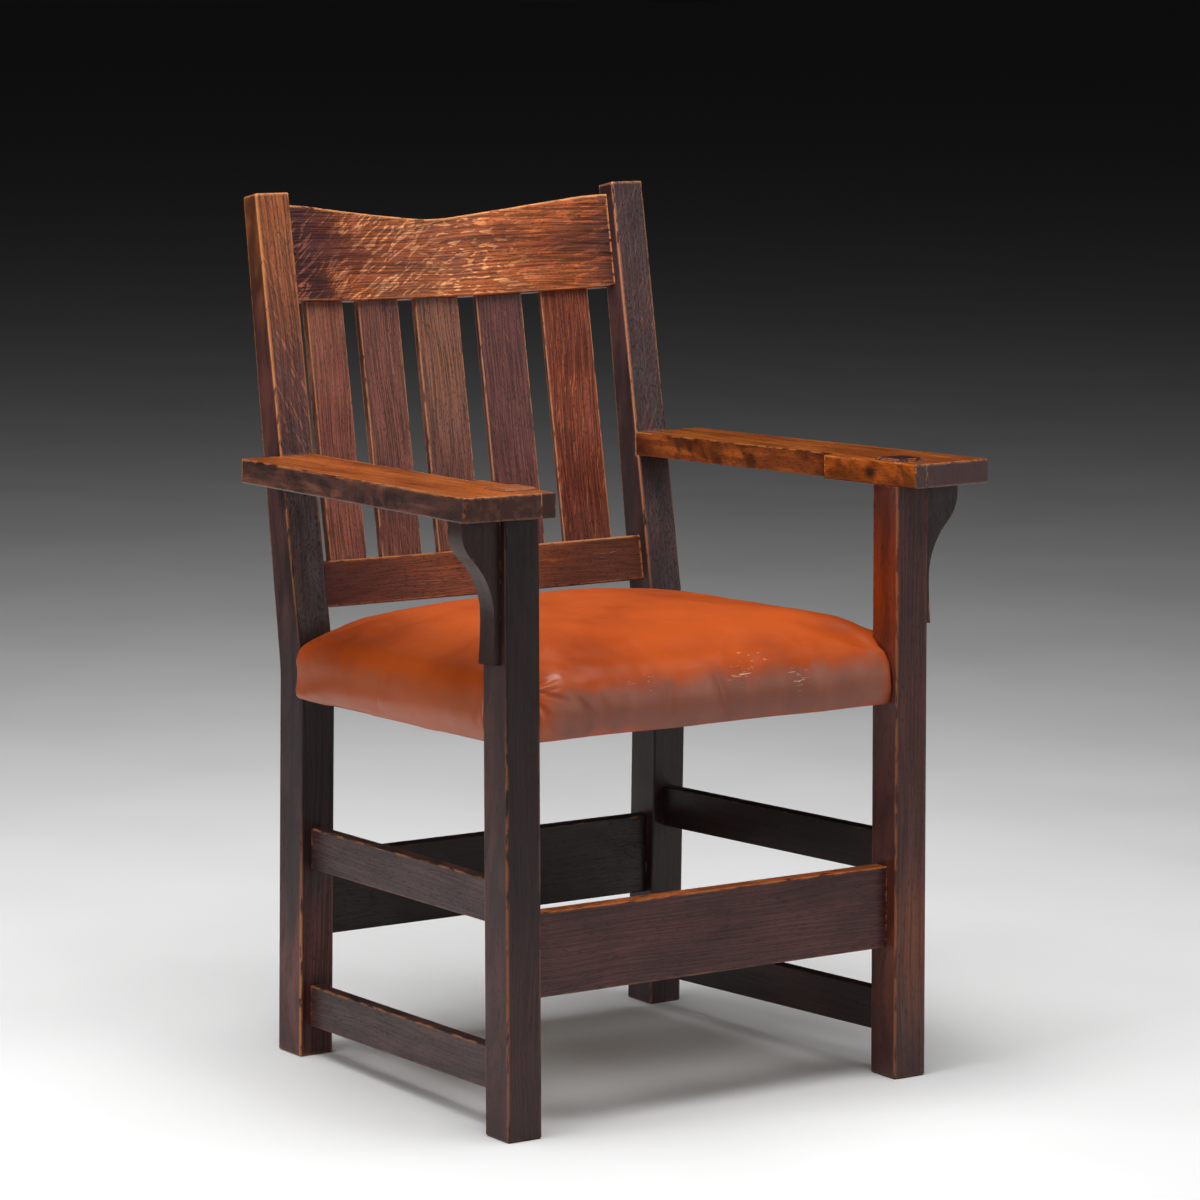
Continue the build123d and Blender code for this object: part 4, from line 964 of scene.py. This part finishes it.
def makeLeather(look):
    leather, tree = startMaterial("pigmented cowhide, cognac")
    place = addNode(tree, "TexCoord", output="Object")
    normal = addNode(tree, "NewGeometry", output="Normal")
    noises = {}
    for key, (size, detail) in look["noises"].items():
        noises[key] = addNode(tree, "TexNoise", {"Vector": place, "Scale": 1000 / size, "Detail": detail})
    mask = addNode(tree, "MapRange", (noises["cloud"], *look["bodyLimits"]))
    colour = addNode(tree, "Mix", {0: mask, 6: look["dark"], 7: look["body"]}, **toneMix)
    mask = addNode(tree, "MapRange", (noises["cloud"], *look["lightLimits"]))
    colour = addNode(tree, "Mix", {0: mask, 6: colour, 7: look["light"]}, **toneMix)

    # Height up the chair's own frame, with a wandering edge
    lean = math.radians(seat["lean"])
    upward = (0, 1000 * math.sin(lean), 1000 * math.cos(lean))
    level = addNode(tree, "VectorMath", (place, upward), "Value", operation="DOT_PRODUCT")
    ground = -seat["start"] * math.sin(lean) - sum(look["waver"].values()) / 2
    height = addNode(tree, "Math", (level, ground), operation="ADD")
    for key, reach in look["waver"].items():
        height = addNode(tree, "Math", (noises[key], reach, height), operation="MULTIPLY_ADD")
    turned = addNode(tree, "MapRange", (height, *look["turn"]), interpolation_type="SMOOTHSTEP")

    # Painted shade and painted reflection: mauve on the sides and on the front below the turn
    flank, front = look["flank"], look["front"]
    sidewise = addNode(tree, "VectorMath", (normal, flank["way"]), "Value", operation="DOT_PRODUCT")
    sidewise = addNode(tree, "Math", (sidewise,), operation="ABSOLUTE")
    paintedShadeSheenFlank = addNode(tree, "MapRange", (sidewise, *flank["limits"]))
    paintedShadeSheenFlank = addNode(tree, "Math", (turned, paintedShadeSheenFlank), operation="MULTIPLY")
    mask = addNode(tree, "Math", (paintedShadeSheenFlank, flank["share"]), operation="MULTIPLY")
    colour = addNode(tree, "Mix", {0: mask, 6: colour, 7: flank["tone"]}, **toneMix)

    ahead = addNode(tree, "VectorMath", (normal, front["way"]), "Value", operation="DOT_PRODUCT")
    masks = [addNode(tree, "MapRange", (ahead, *front["limits"]))]
    masks.append(addNode(tree, "MapRange", (height, *look["hem"])))
    beside = addNode(tree, "VectorMath", (place, across), "Value", operation="DOT_PRODUCT")
    for outer, inner in look["ends"]:
        limits = (outer / 1000, inner / 1000)
        masks.append(addNode(tree, "MapRange", (beside, *limits), interpolation_type="SMOOTHSTEP"))
    paintedShadeSheenFront = turned
    for mask in masks:
        paintedShadeSheenFront = addNode(tree, "Math", (paintedShadeSheenFront, mask), operation="MULTIPLY")
    mask = addNode(tree, "Math", (paintedShadeSheenFront, front["share"]), operation="MULTIPLY")
    colour = addNode(tree, "Mix", {0: mask, 6: colour, 7: front["tone"]}, **toneMix)

    # Painted shade and painted highlights of the folds, as vertical streaks on the front
    foldShading = look["foldShadeStreaks"]
    scale = [1000 / size for size in foldShading["size"]]
    stretched = addNode(tree, "Mapping", {"Vector": place, "Scale": scale})
    foldShadeStreaks = addNode(tree, "TexNoise", {"Vector": stretched, "Scale": 1.0, "Detail": 3.0})
    for tone, low, high in foldShading["tones"]:
        streak = addNode(tree, "MapRange", (foldShadeStreaks, low, high))
        for share in (foldShading["share"], paintedShadeSheenFront):
            streak = addNode(tree, "Math", (streak, share), operation="MULTIPLY")
        colour = addNode(tree, "Mix", {0: streak, 6: colour, 7: tone}, **toneMix)

    scratches = 0.0
    scale = [1000 / size for size in look["scratch"]]
    for spot, reach, turn in look["scuffs"]:
        away = addNode(tree, "VectorMath", (place, seatPoint(*spot)), operation="SUBTRACT")
        share = addNode(tree, "VectorMath", (away, Vector(reach) / 1000), operation="DIVIDE")
        far = addNode(tree, "VectorMath", (share,), "Value", operation="LENGTH")
        near = addNode(tree, "MapRange", (far, *look["scuffLimits"]))
        turn = (0, math.radians(turn), 0)
        slanted = addNode(tree, "Mapping", {"Vector": place, "Rotation": turn, "Scale": scale})
        lines = addNode(tree, "TexNoise", {"Vector": slanted, "Scale": 1.0, "Detail": 2.0})
        thin = addNode(tree, "MapRange", (lines, *look["scratchLimits"]))
        marks = addNode(tree, "Math", (thin, near), operation="MULTIPLY")
        scratches = addNode(tree, "Math", (scratches, marks), operation="MAXIMUM")
    mask = addNode(tree, "Math", (scratches, look["scuffShare"]), operation="MULTIPLY")
    colour = addNode(tree, "Mix", {0: mask, 6: colour, 7: look["scuffTone"]}, **toneMix)

    rough = look["smooth"]
    for mask, share in ((noises["patina"], look["patinaRough"]), (paintedShadeSheenFront, look["frontRough"])):
        rough = addNode(tree, "Math", (mask, share, rough), operation="MULTIPLY_ADD")
    pebbles = addNode(tree, "TexVoronoi", {"Vector": place, "Scale": 1000 / look["pebble"]},
                      feature="SMOOTH_F1")
    relief = look["relief"]
    grain = addNode(tree, "Math", (noises["patina"], relief["patina"], pebbles), operation="MULTIPLY_ADD")
    bump = addNode(tree, "Bump", {"Height": grain, "Strength": 0.18, "Distance": relief["depth"] / 1000})
    finishMaterial(tree, {
        "Base Color": colour, "Roughness": rough, "Specular IOR Level": 0.38, "Normal": bump})
    return leather


pad.data.materials.clear()
pad.data.materials.append(makeLeather(leatherLook))
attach(pad, "root")
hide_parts("seat_cover", "seat_stuffing")
print("seat finished:", len(pad.data.polygons), "faces")
